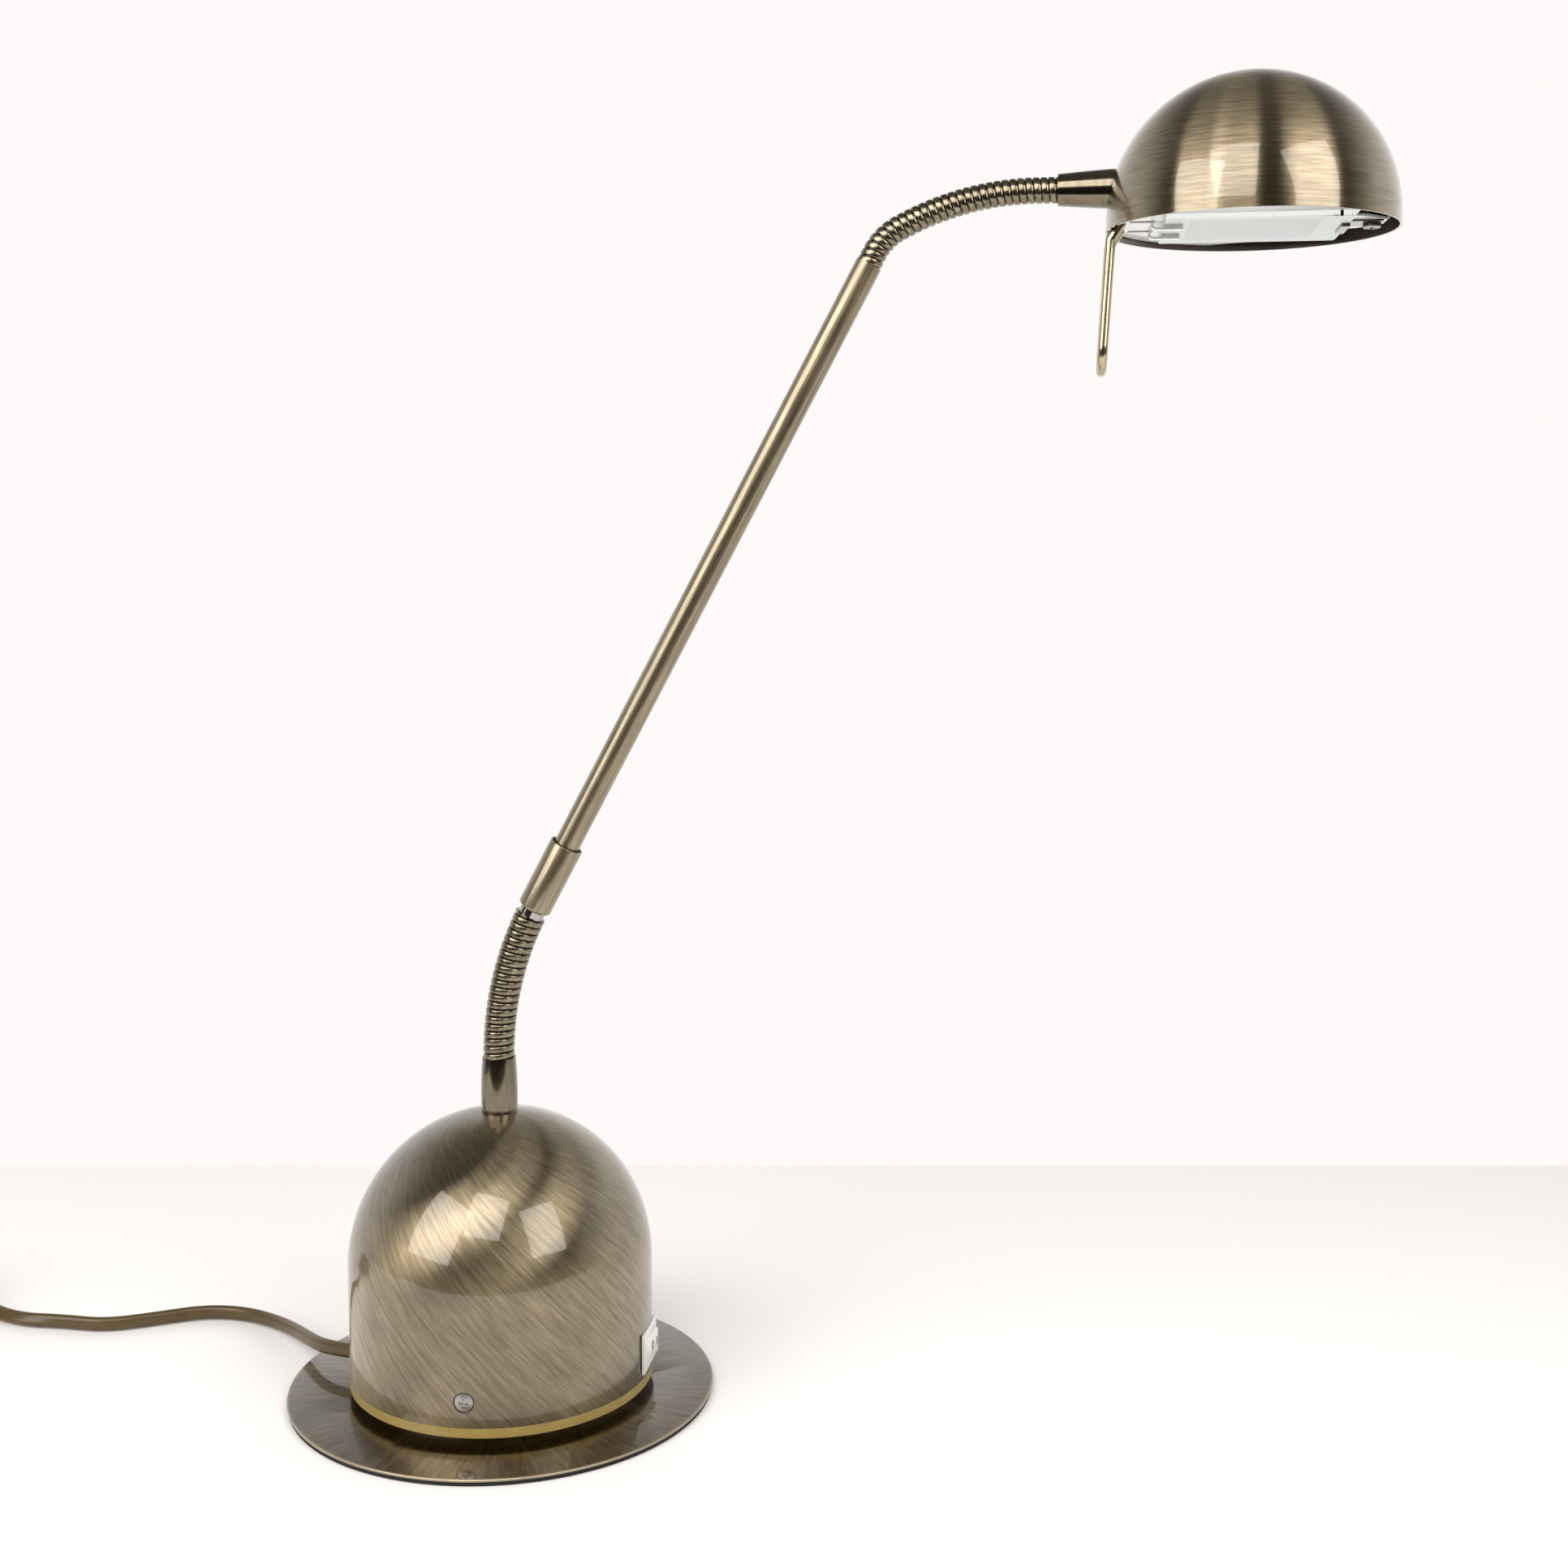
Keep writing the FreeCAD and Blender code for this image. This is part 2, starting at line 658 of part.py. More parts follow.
def terminal_block():
    z0 = block_bottom()
    x0, x1 = BLOCK_X - BLOCK_L / 2, BLOCK_X + BLOCK_L / 2
    body = block(x0, x1, BLOCK_Y - BLOCK_W / 2, BLOCK_Y + BLOCK_W / 2, z0, z0 + BLOCK_H)
    body = body.makeFillet(1.0, [e for e in body.Edges if abs(e.tangentAt(e.FirstParameter).x) > 0.9])
    wire_z = z0 + BLOCK_H / 3
    cutters = [rod(WIRE_HOLE_R, wire_z, z0 + BLOCK_H + 1, x, y) for x, y in wire_places()]
    for y in (BLOCK_Y - BLOCK_W / 4, BLOCK_Y + BLOCK_W / 4):
        cutters.append(Part.makeCylinder(WIRE_HOLE_R, BLOCK_L + 2, Vector(x0 - 1, y, wire_z), Vector(1, 0, 0)))
    cutters.append(rod(BLOCK_SCREW_R + RUN_FIT, z0 - 1, z0 + BLOCK_H + 1, BLOCK_X, BLOCK_Y))
    return body.cut(cutters)


def block_screw():
    top = block_bottom() + BLOCK_H
    head = rod(2 * BLOCK_SCREW_R, top + RUN_FIT, top + 1.5, BLOCK_X, BLOCK_Y)
    return joined(head, rod(BLOCK_SCREW_R, block_bottom() + SEAT_GAP, top + 1, BLOCK_X, BLOCK_Y))


def terminal_screws():
    z0 = block_bottom() + BLOCK_H
    return [rod(WIRE_HOLE_R - RUN_FIT, z0 - BLOCK_H / 2 + 1, z0 - 1, x, y) for x, y in wire_places()]


# Switch


def switch_face():
    return DOME_R + BEZEL_PROUD


def switch_housing():
    back = DOME_R + RUN_FIT
    body_back = back - SWITCH_BODY_D
    face = switch_face()
    bezel = block(face - BEZEL_T, face, -BEZEL_L / 2, BEZEL_L / 2, SWITCH_Z - BEZEL_H / 2, SWITCH_Z + BEZEL_H / 2)
    front = [e for e in bezel.Edges if e.BoundBox.XMin > face - 0.01]
    bezel = bezel.makeFillet(BEZEL_ROUND, front).cut(rod(back, 0, SWITCH_Z + BEZEL_H, 0, 0))
    body = block(
        body_back, face - BEZEL_ROUND, -SWITCH_BODY_L / 2, SWITCH_BODY_L / 2,
        SWITCH_Z - SWITCH_BODY_H / 2, SWITCH_Z + SWITCH_BODY_H / 2,
    )
    well_y = ROCKER_R + FREE_GAP
    well_z = ROCKER_H / 2 + FREE_GAP
    pivot = rocker_pivot()
    well = block(well_floor(), face + 1, -well_y, well_y, SWITCH_Z - well_z, SWITCH_Z + well_z)
    reach = ROCKER_H / 2 + TRUNNION_L + SEAT_GAP
    bearings = rod(TRUNNION_R + RUN_FIT, SWITCH_Z - reach, SWITCH_Z + reach, pivot.x, 0)
    housing = joined(bezel, body).cut([well, bearings])
    slots = []
    for y in blade_rows():
        slots.append(block(
            body_back - 1, well_floor() + 1, y - BLADE_T / 2 - RUN_FIT, y + BLADE_T / 2 + RUN_FIT,
            SWITCH_Z - BLADE_W / 2 - RUN_FIT, SWITCH_Z + BLADE_W / 2 + RUN_FIT,
        ))
    return housing.cut(slots)


def rocker_pivot():
    return Vector(switch_face() - ROCKER_PIVOT, 0, SWITCH_Z)


def well_floor():
    """Floor of the rocker's well, clear of its tilted back."""
    tilt = math.radians(ROCKER_TILT)
    half = math.sqrt(ROCKER_R**2 - ROCKER_BACK**2)
    return rocker_pivot().x - ROCKER_BACK * math.cos(tilt) - half * math.sin(tilt) - FREE_GAP


def blade_rows():
    return (-BLADE_PITCH / 2, BLADE_PITCH / 2)


def switch_rocker():
    """Paddle with a shallow V front, cut from a roller about its pivot, resting with its 0 side in."""
    pivot = rocker_pivot()
    z0 = SWITCH_Z - ROCKER_H / 2
    roller = rod(ROCKER_R, z0, z0 + ROCKER_H, pivot.x, 0)
    slope = math.tan(math.radians(ROCKER_DISH))
    low = Vector(pivot.x + ROCKER_FACE, 0, z0)
    rise = slope * ROCKER_R * 1.2
    outline = [
        low,
        Vector(low.x + rise, ROCKER_R * 1.2, z0),
        Vector(pivot.x - ROCKER_BACK, ROCKER_R * 1.2, z0),
        Vector(pivot.x - ROCKER_BACK, -ROCKER_R * 1.2, z0),
        Vector(low.x + rise, -ROCKER_R * 1.2, z0),
    ]
    paddle = Part.Face(Part.makePolygon(outline + outline[:1])).extrude(Vector(0, 0, ROCKER_H)).common(roller)
    pins = rod(TRUNNION_R, z0 - TRUNNION_L, z0 + ROCKER_H + TRUNNION_L, pivot.x, 0)
    rocker = joined(paddle, pins)
    rocker.rotate(pivot, UP, -ROCKER_TILT)
    return rocker


def switch_terminals():
    back = DOME_R + RUN_FIT - SWITCH_BODY_D
    blades = []
    for y in blade_rows():
        blade = block(
            back - BLADE_L, well_floor() - FREE_GAP, y - BLADE_T / 2, y + BLADE_T / 2,
            SWITCH_Z - BLADE_W / 2, SWITCH_Z + BLADE_W / 2,
        )
        blades.append(blade.cut(Part.makeCylinder(
            0.9, 4, Vector(back - BLADE_L + 3, y - 2, SWITCH_Z), Vector(0, 1, 0)
        )))
    return blades


# Ferrule, neck root and nut on the dome


def lower_ferrule():
    top = FERRULE_SEAT + FERRULE_H
    belly = FERRULE_SEAT + FERRULE_H / 3
    outside = [
        Part.makeLine(Vector(ROOT_STUB_R + SEAT_GAP, 0, FERRULE_SEAT), Vector(FERRULE_BOTTOM_R, 0, FERRULE_SEAT)),
        arc_edge(Vector(FERRULE_BOTTOM_R, 0, FERRULE_SEAT), Vector(FERRULE_BELLY_R, 0, belly),
                 Vector(FERRULE_TOP_R, 0, top)),
        Part.makeLine(Vector(FERRULE_TOP_R, 0, top), Vector(LOWER_BAND_R + RUN_FIT, 0, top)),
        Part.makeLine(Vector(LOWER_BAND_R + RUN_FIT, 0, top), Vector(LOWER_BAND_R + RUN_FIT, 0, top - 2)),
        Part.makeLine(Vector(LOWER_BAND_R + RUN_FIT, 0, top - 2), Vector(ROOT_R + RUN_FIT, 0, top - 3)),
        Part.makeLine(Vector(ROOT_R + RUN_FIT, 0, top - 3),
                      Vector(ROOT_R + RUN_FIT, 0, FERRULE_SEAT + FERRULE_FLOOR)),
        Part.makeLine(Vector(ROOT_R + RUN_FIT, 0, FERRULE_SEAT + FERRULE_FLOOR),
                      Vector(ROOT_STUB_R + SEAT_GAP, 0, FERRULE_SEAT + FERRULE_FLOOR)),
        Part.makeLine(Vector(ROOT_STUB_R + SEAT_GAP, 0, FERRULE_SEAT + FERRULE_FLOOR),
                      Vector(ROOT_STUB_R + SEAT_GAP, 0, FERRULE_SEAT)),
    ]
    return section_face(outside).revolve(ORIGIN, UP, 360).cut(
        Part.makeSphere(DOME_R + RUN_FIT, Vector(0, 0, DOME_CENTRE))
    )


def neck_root():
    """End fitting of the lower neck inside the ferrule, with a threaded stub through the dome."""
    shoulder = FERRULE_SEAT + FERRULE_FLOOR + RUN_FIT
    top = NECK_START.z - FREE_GAP / 2
    body = rod(ROOT_R, shoulder, top)
    stub = rod(ROOT_STUB_R, DOME_TOP - DOME_WALL - ROOT_STUB_L, shoulder + 1)
    return joined(body, stub).cut(rod(LOWER_BORE_R, DOME_CENTRE, top + 1))


def washer_top():
    return DOME_CENTRE + math.sqrt(DOME_INNER_R**2 - ROOT_WASHER_R**2) - RUN_FIT


def root_washer():
    return ring(ROOT_WASHER_R, ROOT_STUB_R + SEAT_GAP, washer_top() - ROOT_WASHER_T, washer_top())


def root_nut():
    top = washer_top() - ROOT_WASHER_T - RUN_FIT
    return hexagon(ROOT_NUT_AF, top - ROOT_NUT_T, top, ROOT_STUB_R + RUN_FIT)


# Goosenecks


def neck_circle(start, heading, stretches, length, radius):
    """Circle round the neck's axis, with its seam always on the same side."""
    point, angle = walk(start, heading, stretches, length)
    a = math.radians(angle)
    circle = Part.Circle(point, Vector(math.sin(a), 0, math.cos(a)), radius)
    circle.XAxis = Vector(0, 1, 0)
    return Part.Wire([circle.toShape()])


def neck_section(start, heading, stretches, first, pitch, bands, band_r, groove_r, bore_r):
    """One length of a gooseneck: flat bands with grooves between, and a bore."""
    def circle(length, radius):
        return neck_circle(start, heading, stretches, length, radius)

    rise = GROOVE_W / 2
    foot = rise - FLANK_W
    begin = first + FREE_GAP / 2
    end = first + bands * pitch - FREE_GAP / 2
    outline = [circle(begin, groove_r)]
    bore = [circle(begin - 1, bore_r)]
    for k in range(bands):
        low = first + k * pitch
        high = low + pitch
        outline += [
            circle(max(low + foot, begin + 0.01), groove_r),
            circle(low + rise, band_r),
            circle(high - rise, band_r),
            circle(min(high - foot, end - 0.01), groove_r),
        ]
        bore.append(circle((low + high) / 2, bore_r))
    outline.append(circle(end, groove_r))
    bore.append(circle(end + 1, bore_r))
    outside = Part.makeLoft(outline, True, True)
    return outside.cut(Part.makeLoft(bore, True, True))


def neck(start, heading, stretches, ribbed, bands, band_r, groove_r, bore_r):
    """The sections of one gooseneck, each with the same number of bands."""
    pitch = ribbed / bands
    each = bands // NECK_SECTIONS
    return [
        neck_section(start, heading, stretches, n * each * pitch, pitch, each, band_r, groove_r, bore_r)
        for n in range(NECK_SECTIONS)
    ]


def neck_hinges(start, heading, stretches, ribbed):
    """Middle of each section, where the neck is taken to bend."""
    return [
        walk(start, heading, stretches, ribbed * (n + 0.5) / NECK_SECTIONS) for n in range(NECK_SECTIONS)
    ]


# Arm


def lower_neck_end():
    """Polished collar under the sleeve, its flange inside the sleeve and its threaded socket."""
    gap = FREE_GAP / 2
    profile = [
        (LOWER_BORE_R, gap - COLLAR_L), (COLLAR_R, gap - COLLAR_L), (COLLAR_R, SLEEVE_LIP + SEAT_GAP),
        (FLANGE_R, SLEEVE_LIP + SEAT_GAP), (FLANGE_R, SLEEVE_LIP + SEAT_GAP + FLANGE_T),
        (COLLAR_R, SLEEVE_LIP + SEAT_GAP + FLANGE_T), (COLLAR_R, NECK_END_L),
        (nipple_r() + RUN_FIT, NECK_END_L), (nipple_r() + RUN_FIT, 0.0), (LOWER_BORE_R, 0.0),
    ]
    return tilted(turned(profile), SLEEVE_START, ARM_HEADING)


def nipple_r():
    return TUBE_R - TUBE_WALL - RUN_FIT


def arm_sleeve():
    inner = SLEEVE_R - SLEEVE_WALL
    lip_r = COLLAR_R + SEAT_GAP
    corner = SLEEVE_ROUND * (1 - math.sqrt(0.5))
    edges = [
        Part.makeLine(Vector(lip_r, 0, 0), Vector(SLEEVE_R - SLEEVE_ROUND, 0, 0)),
        arc_edge(Vector(SLEEVE_R - SLEEVE_ROUND, 0, 0), Vector(SLEEVE_R - corner, 0, corner),
                 Vector(SLEEVE_R, 0, SLEEVE_ROUND)),
        Part.makeLine(Vector(SLEEVE_R, 0, SLEEVE_ROUND), Vector(SLEEVE_R, 0, SLEEVE_L)),
        Part.makeLine(Vector(SLEEVE_R, 0, SLEEVE_L), Vector(inner, 0, SLEEVE_L)),
        Part.makeLine(Vector(inner, 0, SLEEVE_L), Vector(inner, 0, SLEEVE_LIP)),
        Part.makeLine(Vector(inner, 0, SLEEVE_LIP), Vector(lip_r, 0, SLEEVE_LIP)),
        Part.makeLine(Vector(lip_r, 0, SLEEVE_LIP), Vector(lip_r, 0, 0)),
    ]
    return tilted(section_face(edges).revolve(ORIGIN, UP, 360), SLEEVE_START, ARM_HEADING)


def arm_tube():
    tube = ring(TUBE_R, TUBE_R - TUBE_WALL, NECK_END_L + RUN_FIT, TUBE_TOP)
    return tilted(tube, SLEEVE_START, ARM_HEADING)


def arm_nipple():
    low = RUN_FIT
    return tilted(ring(nipple_r(), NIPPLE_BORE_R, low, low + NIPPLE_L), SLEEVE_START, ARM_HEADING)


def upper_neck_root():
    plug = ring(nipple_r(), UPPER_BORE_R, TUBE_TOP - UPPER_ROOT_L, TUBE_TOP - RUN_FIT)
    return tilted(plug, SLEEVE_START, ARM_HEADING)


def lamp_lead():
    return tilted(rod(LEAD_R, NIPPLE_L / 2, TUBE_TOP - UPPER_ROOT_L / 2), SLEEVE_START, ARM_HEADING)


# Shade

RIM_Z = NECK_MOUTH.z - SHADE_DROP
SHADE_BALL_Z = RIM_Z + SHADE_SKIRT
SHADE_INNER_R = SHADE_R - SHADE_WALL
AXIS_ABOVE_BALL = SHADE_DROP - SHADE_SKIRT
SHADE_BALL = Vector(SHADE_X, 0, SHADE_BALL_Z)


def wall_x(radius, height):
    """X of the shade's rear wall of a given radius, at a height above the ball's middle."""
    return SHADE_X - math.sqrt(radius**2 - height**2)


def shade_dome():
    mid = math.sqrt(0.5)
    profile = [
        Part.makeLine(Vector(SHADE_INNER_R, 0, -SHADE_SKIRT), Vector(SHADE_R, 0, -SHADE_SKIRT)),
        Part.makeLine(Vector(SHADE_R, 0, -SHADE_SKIRT), Vector(SHADE_R, 0, 0)),
        arc_edge(Vector(SHADE_R, 0, 0), Vector(SHADE_R * mid, 0, SHADE_R * mid), Vector(0, 0, SHADE_R)),
        Part.makeLine(Vector(0, 0, SHADE_R), Vector(0, 0, SHADE_INNER_R)),
        arc_edge(Vector(0, 0, SHADE_INNER_R), Vector(SHADE_INNER_R * mid, 0, SHADE_INNER_R * mid),
                 Vector(SHADE_INNER_R, 0, 0)),
        Part.makeLine(Vector(SHADE_INNER_R, 0, 0), Vector(SHADE_INNER_R, 0, -SHADE_SKIRT)),
    ]
    shell = section_face(profile).revolve(ORIGIN, UP, 360)
    shell.translate(SHADE_BALL)
    return shell.cut(along_x(rod(SHADE_STUB_R + RUN_FIT, 0, SHADE_X - NECK_MOUTH.x)))


def along_x(shape):
    """Puts a shape made along +Z on the axis of the shade's ferrule, from the neck's mouth."""
    return tilted(shape, NECK_MOUTH, SHADE_HEADING)


def shade_ferrule():
    end = SHADE_X - NECK_MOUTH.x
    taper = turned([
        (UPPER_BAND_R + RUN_FIT, 0), (SHADE_FERRULE_R, 0),
        (SHADE_FERRULE_MID_R, SHADE_FERRULE_MID_L), (SHADE_FERRULE_END_R, ferrule_reach()),
        (SHADE_FERRULE_END_R, end), (SHADE_STUB_R + SEAT_GAP, end),
        (SHADE_STUB_R + SEAT_GAP, SHADE_FERRULE_MOUTH), (UPPER_BAND_R + RUN_FIT, SHADE_FERRULE_MOUTH),
    ])
    ball = Part.makeSphere(SHADE_R + RUN_FIT, SHADE_BALL)
    lower = Part.makeCylinder(SHADE_R + RUN_FIT, SHADE_SKIRT + 1, SHADE_BALL, Vector(0, 0, -1))
    return along_x(taper).cut([ball, lower])


def ferrule_reach():
    """Length of the ferrule, from the neck's mouth to the shade's wall on its axis."""
    return wall_x(SHADE_R, AXIS_ABOVE_BALL) - NECK_MOUTH.x


def upper_neck_end():
    """End fitting of the upper neck, with a threaded stub through the shade's wall."""
    start = FREE_GAP / 2
    shoulder = SHADE_FERRULE_MOUTH - SEAT_GAP
    body = rod(UPPER_BAND_R - SEAT_GAP, start, shoulder)
    stub = rod(SHADE_STUB_R, shoulder - 1, ferrule_reach() + SHADE_STUB_L)
    fitting = joined(body, stub).cut(rod(HOLDER_LEAD_R + SEAT_GAP, -1, ferrule_reach() + SHADE_STUB_L + 1))
    return along_x(fitting)


def strap_rear_x():
    """Where the strap's upright leg stands off the slanting inner wall."""
    return wall_x(SHADE_INNER_R, AXIS_ABOVE_BALL + STRAP_RISE) + SEAT_GAP


def strap_levels():
    top = NECK_MOUTH.z + STRAP_RISE
    foot = pan_top() + SEAT_GAP
    return top, foot


def pan_bottom():
    return RIM_Z + PAN_RECESS


def pan_top():
    return pan_bottom() + PAN_T


def shade_bracket():
    top, foot = strap_levels()
    x0 = strap_rear_x()
    front = SHADE_X + CLIP_SCREW_X - STRAP_FOOT_L / 2
    half = STRAP_W / 2
    pieces = [
        block(x0, x0 + STRAP_T, -half, half, NECK_MOUTH.z - STRAP_DROP, top),
        block(x0, front + STRAP_T, -half, half, top - STRAP_T, top),
        block(front, front + STRAP_T, -half, half, foot, top),
        block(front, front + STRAP_FOOT_L, -half, half, foot, foot + STRAP_T),
    ]
    strap = joined(*pieces)
    holes = [along_x(rod(SHADE_STUB_R + SEAT_GAP, 0, strap_rear_x() + 3 - NECK_MOUTH.x)),
             rod(CLIP_SCREW_R + RUN_FIT, foot - 1, foot + STRAP_T + 1, SHADE_X + CLIP_SCREW_X, 0)]
    return strap.cut(holes)


def shade_nut():
    start = strap_rear_x() + STRAP_T + RUN_FIT - NECK_MOUTH.x
    return along_x(hexagon(SHADE_NUT_AF, start, start + SHADE_NUT_T, SHADE_STUB_R + RUN_FIT))


# Reflector, glass and lamp


def pan_outline(z):
    """Rear follows the shade, straight sides draw in to the front, then the screw tongue."""
    side_y = math.sqrt(PAN_R**2 - PAN_SIDE_X**2)
    corners = [
        (PAN_SIDE_X, side_y), (PAN_FRONT_X, PAN_FRONT_HALF), (PAN_FRONT_X, TONGUE_HALF),
        (PAN_FRONT_X + 4, TONGUE_HALF - 1), (TONGUE_END_X, TONGUE_ROUND),
    ]
    points = [Vector(SHADE_X + x, y, z) for x, y in corners]
    mirrored = [Vector(p.x, -p.y, p.z) for p in reversed(points)]
    edges = [Part.makeLine(points[k], points[k + 1]) for k in range(len(points) - 1)]
    edges.append(Part.makeLine(points[-1], mirrored[0]))
    edges += [Part.makeLine(mirrored[k], mirrored[k + 1]) for k in range(len(mirrored) - 1)]
    edges.append(arc_edge(mirrored[-1], Vector(SHADE_X - PAN_R, 0, z), points[0]))
    return section_face(edges)


def trough_solid(grow, bottom, top):
    """Drafted dish, growing by the same amount on every side."""
    def rim(half, z):
        return Part.makePolygon([
            Vector(SHADE_X - half, -half, z), Vector(SHADE_X + half, -half, z),
            Vector(SHADE_X + half, half, z), Vector(SHADE_X - half, half, z), Vector(SHADE_X - half, -half, z),
        ])

    low = TROUGH_HALF + grow
    return Part.makeLoft([rim(low, bottom), rim(low - TROUGH_DRAFT, top)], True, True)


def hook_rows():
    return (-SLOT_PITCH / 2, SLOT_PITCH / 2)


def glass_rear_x():
    return SHADE_X + GLASS_MID_X - GLASS_L / 2


def glass_bottom():
    return pan_bottom() - RUN_FIT - GLASS_T


def pan_hook(y):
    """Tab lanced from the pan: it curls back and down from its slot and runs forward under the glass."""
    root = SHADE_X + SLOT_X + SLOT_L
    top = pan_top()
    low = glass_bottom() - SEAT_GAP - PAN_T
    outer = (top - low) / 2
    inner = outer - PAN_T
    middle = low + outer
    reach = root + HOOK_L
    edges = [
        Part.makeLine(Vector(root + 1, 0, top), Vector(root, 0, top)),
        arc_edge(Vector(root, 0, top), Vector(root - outer, 0, middle), Vector(root, 0, low)),
        Part.makeLine(Vector(root, 0, low), Vector(reach, 0, low)),
        Part.makeLine(Vector(reach, 0, low), Vector(reach, 0, low + PAN_T)),
        Part.makeLine(Vector(reach, 0, low + PAN_T), Vector(root, 0, low + PAN_T)),
        arc_edge(Vector(root, 0, low + PAN_T), Vector(root - inner, 0, middle), Vector(root, 0, top - PAN_T)),
        Part.makeLine(Vector(root, 0, top - PAN_T), Vector(root + 1, 0, top - PAN_T)),
        Part.makeLine(Vector(root + 1, 0, top - PAN_T), Vector(root + 1, 0, top)),
    ]
    tab = section_face(edges).extrude(Vector(0, SLOT_W - 2 * SEAT_GAP, 0))
    tab.translate(Vector(0, y - SLOT_W / 2 + SEAT_GAP, 0))
    return tab


def reflector_pan():
    z0, z1 = pan_bottom(), pan_top()
    roof = z0 + TROUGH_H
    plate = pan_outline(z0).extrude(Vector(0, 0, PAN_T))
    pan = plate.fuse(trough_solid(PAN_T, z0, roof)).cut(trough_solid(0, z0 - 0.01, roof - PAN_T))
    rear = SHADE_X + SLOT_X
    cutters = [
        block(rear, rear + SLOT_L, y - SLOT_W / 2, y + SLOT_W / 2, z0 - 1, z1 + 1) for y in hook_rows()
    ]
    cutters.append(rod(CLIP_SCREW_R + RUN_FIT, z0 - 1, z1 + 1, SHADE_X + CLIP_SCREW_X, 0))
    grip = WIRE_R + RUN_FIT
    for y in (-HANDLE_HALF, HANDLE_HALF):
        x = SHADE_X + HANDLE_X
        cutters.append(rod(grip, z0 - 1, z1 + 1, x, y))
        cutters.append(block(x - 3, x, y - grip, y + grip, z0 - 1, z1 + 1))
    z = NECK_MOUTH.z
    wide = HOLDER_LEAD_R + FREE_GAP
    cutters.append(block(SHADE_X - TROUGH_HALF - 2, SHADE_X - TROUGH_HALF / 2 - 3, -wide, wide, z - wide, z + wide))
    cutters.append(rod(HOLDER_SCREW_R + RUN_FIT, roof - PAN_T - 1, roof + 1, holder_middle_x(), 0))
    return joined(pan.cut(cutters), *[pan_hook(y) for y in hook_rows()])


def glass_pane():
    z0 = glass_bottom()
    x0 = glass_rear_x()
    pane = block(x0, x0 + GLASS_L, -GLASS_HALF, GLASS_HALF, z0, z0 + GLASS_T)
    upright = [e for e in pane.Edges if abs(e.tangentAt(e.FirstParameter).z) > 0.9]
    return pane.makeFillet(1.5, upright)


def glass_clip():
    """Spring strip: its lip holds the front edge of the glass, its back is screwed to the tongue."""
    edge = glass_rear_x() + GLASS_L
    low = glass_bottom() - SEAT_GAP - CLIP_T
    high = pan_bottom() - SEAT_GAP - CLIP_T
    half = CLIP_W / 2
    step = edge + SEAT_GAP
    tail = SHADE_X + CLIP_SCREW_X + CLIP_SCREW_HEAD_R
    lip = block(edge - CLIP_OVER, step + CLIP_T, -half, half, low, low + CLIP_T)
    riser = block(step, step + CLIP_T, -half, half, low, high + CLIP_T)
    back = block(step, tail, -half * 0.7, half * 0.7, high, high + CLIP_T)
    clip = joined(lip, riser, back)
    return clip.cut(rod(CLIP_SCREW_R + RUN_FIT, high - 1, high + 2, SHADE_X + CLIP_SCREW_X, 0))


def clip_screw():
    seat = pan_bottom() - SEAT_GAP - CLIP_T - RUN_FIT
    x = SHADE_X + CLIP_SCREW_X
    head = rod(CLIP_SCREW_HEAD_R, seat - CLIP_SCREW_HEAD_H, seat, x, 0)
    edge = [e for e in head.Edges if e.BoundBox.ZMax < seat - CLIP_SCREW_HEAD_H + 0.01]
    head = head.makeFillet(0.6, edge)
    shank = rod(CLIP_SCREW_R, seat - 0.5, pan_top() + STRAP_T + 2, x, 0)
    recess = cross_recess(0, 0)
    recess.rotate(ORIGIN, Vector(1, 0, 0), 180)
    recess.translate(Vector(x, 0, seat - CLIP_SCREW_HEAD_H + CROSS_DEEP))
    return joined(head, shank).cut(recess)


def holder_middle_x():
    return SHADE_X + HOLDER_BACK_X + HOLDER_L / 2


def holder_top():
    return pan_bottom() + TROUGH_H - PAN_T - SEAT_GAP


def lamp_holder():
    x0 = SHADE_X + HOLDER_BACK_X
    top = holder_top()
    body = block(x0, x0 + HOLDER_L, -HOLDER_W / 2, HOLDER_W / 2, top - HOLDER_H, top)
    body = body.makeFillet(1.0, [e for e in body.Edges if abs(e.tangentAt(e.FirstParameter).x) > 0.9])
    cutters = [rod(HOLDER_SCREW_R + RUN_FIT, top - 5, top + 1, holder_middle_x(), 0)]
    for y in (-PIN_PITCH / 2, PIN_PITCH / 2):
        cutters.append(Part.makeCylinder(
            PIN_R + RUN_FIT, PIN_L + 1, Vector(x0 + HOLDER_L - PIN_L - 0.5, y, capsule_z()), Vector(1, 0, 0)
        ))
    return body.cut(cutters)


def holder_screw():
    roof = pan_bottom() + TROUGH_H
    head = rod(2 * HOLDER_SCREW_R, roof + RUN_FIT, roof + 1.2, holder_middle_x(), 0)
    return joined(head, rod(HOLDER_SCREW_R, holder_top() - 4, roof + 1, holder_middle_x(), 0))


def capsule_z():
    return holder_top() - HOLDER_H + 4.0


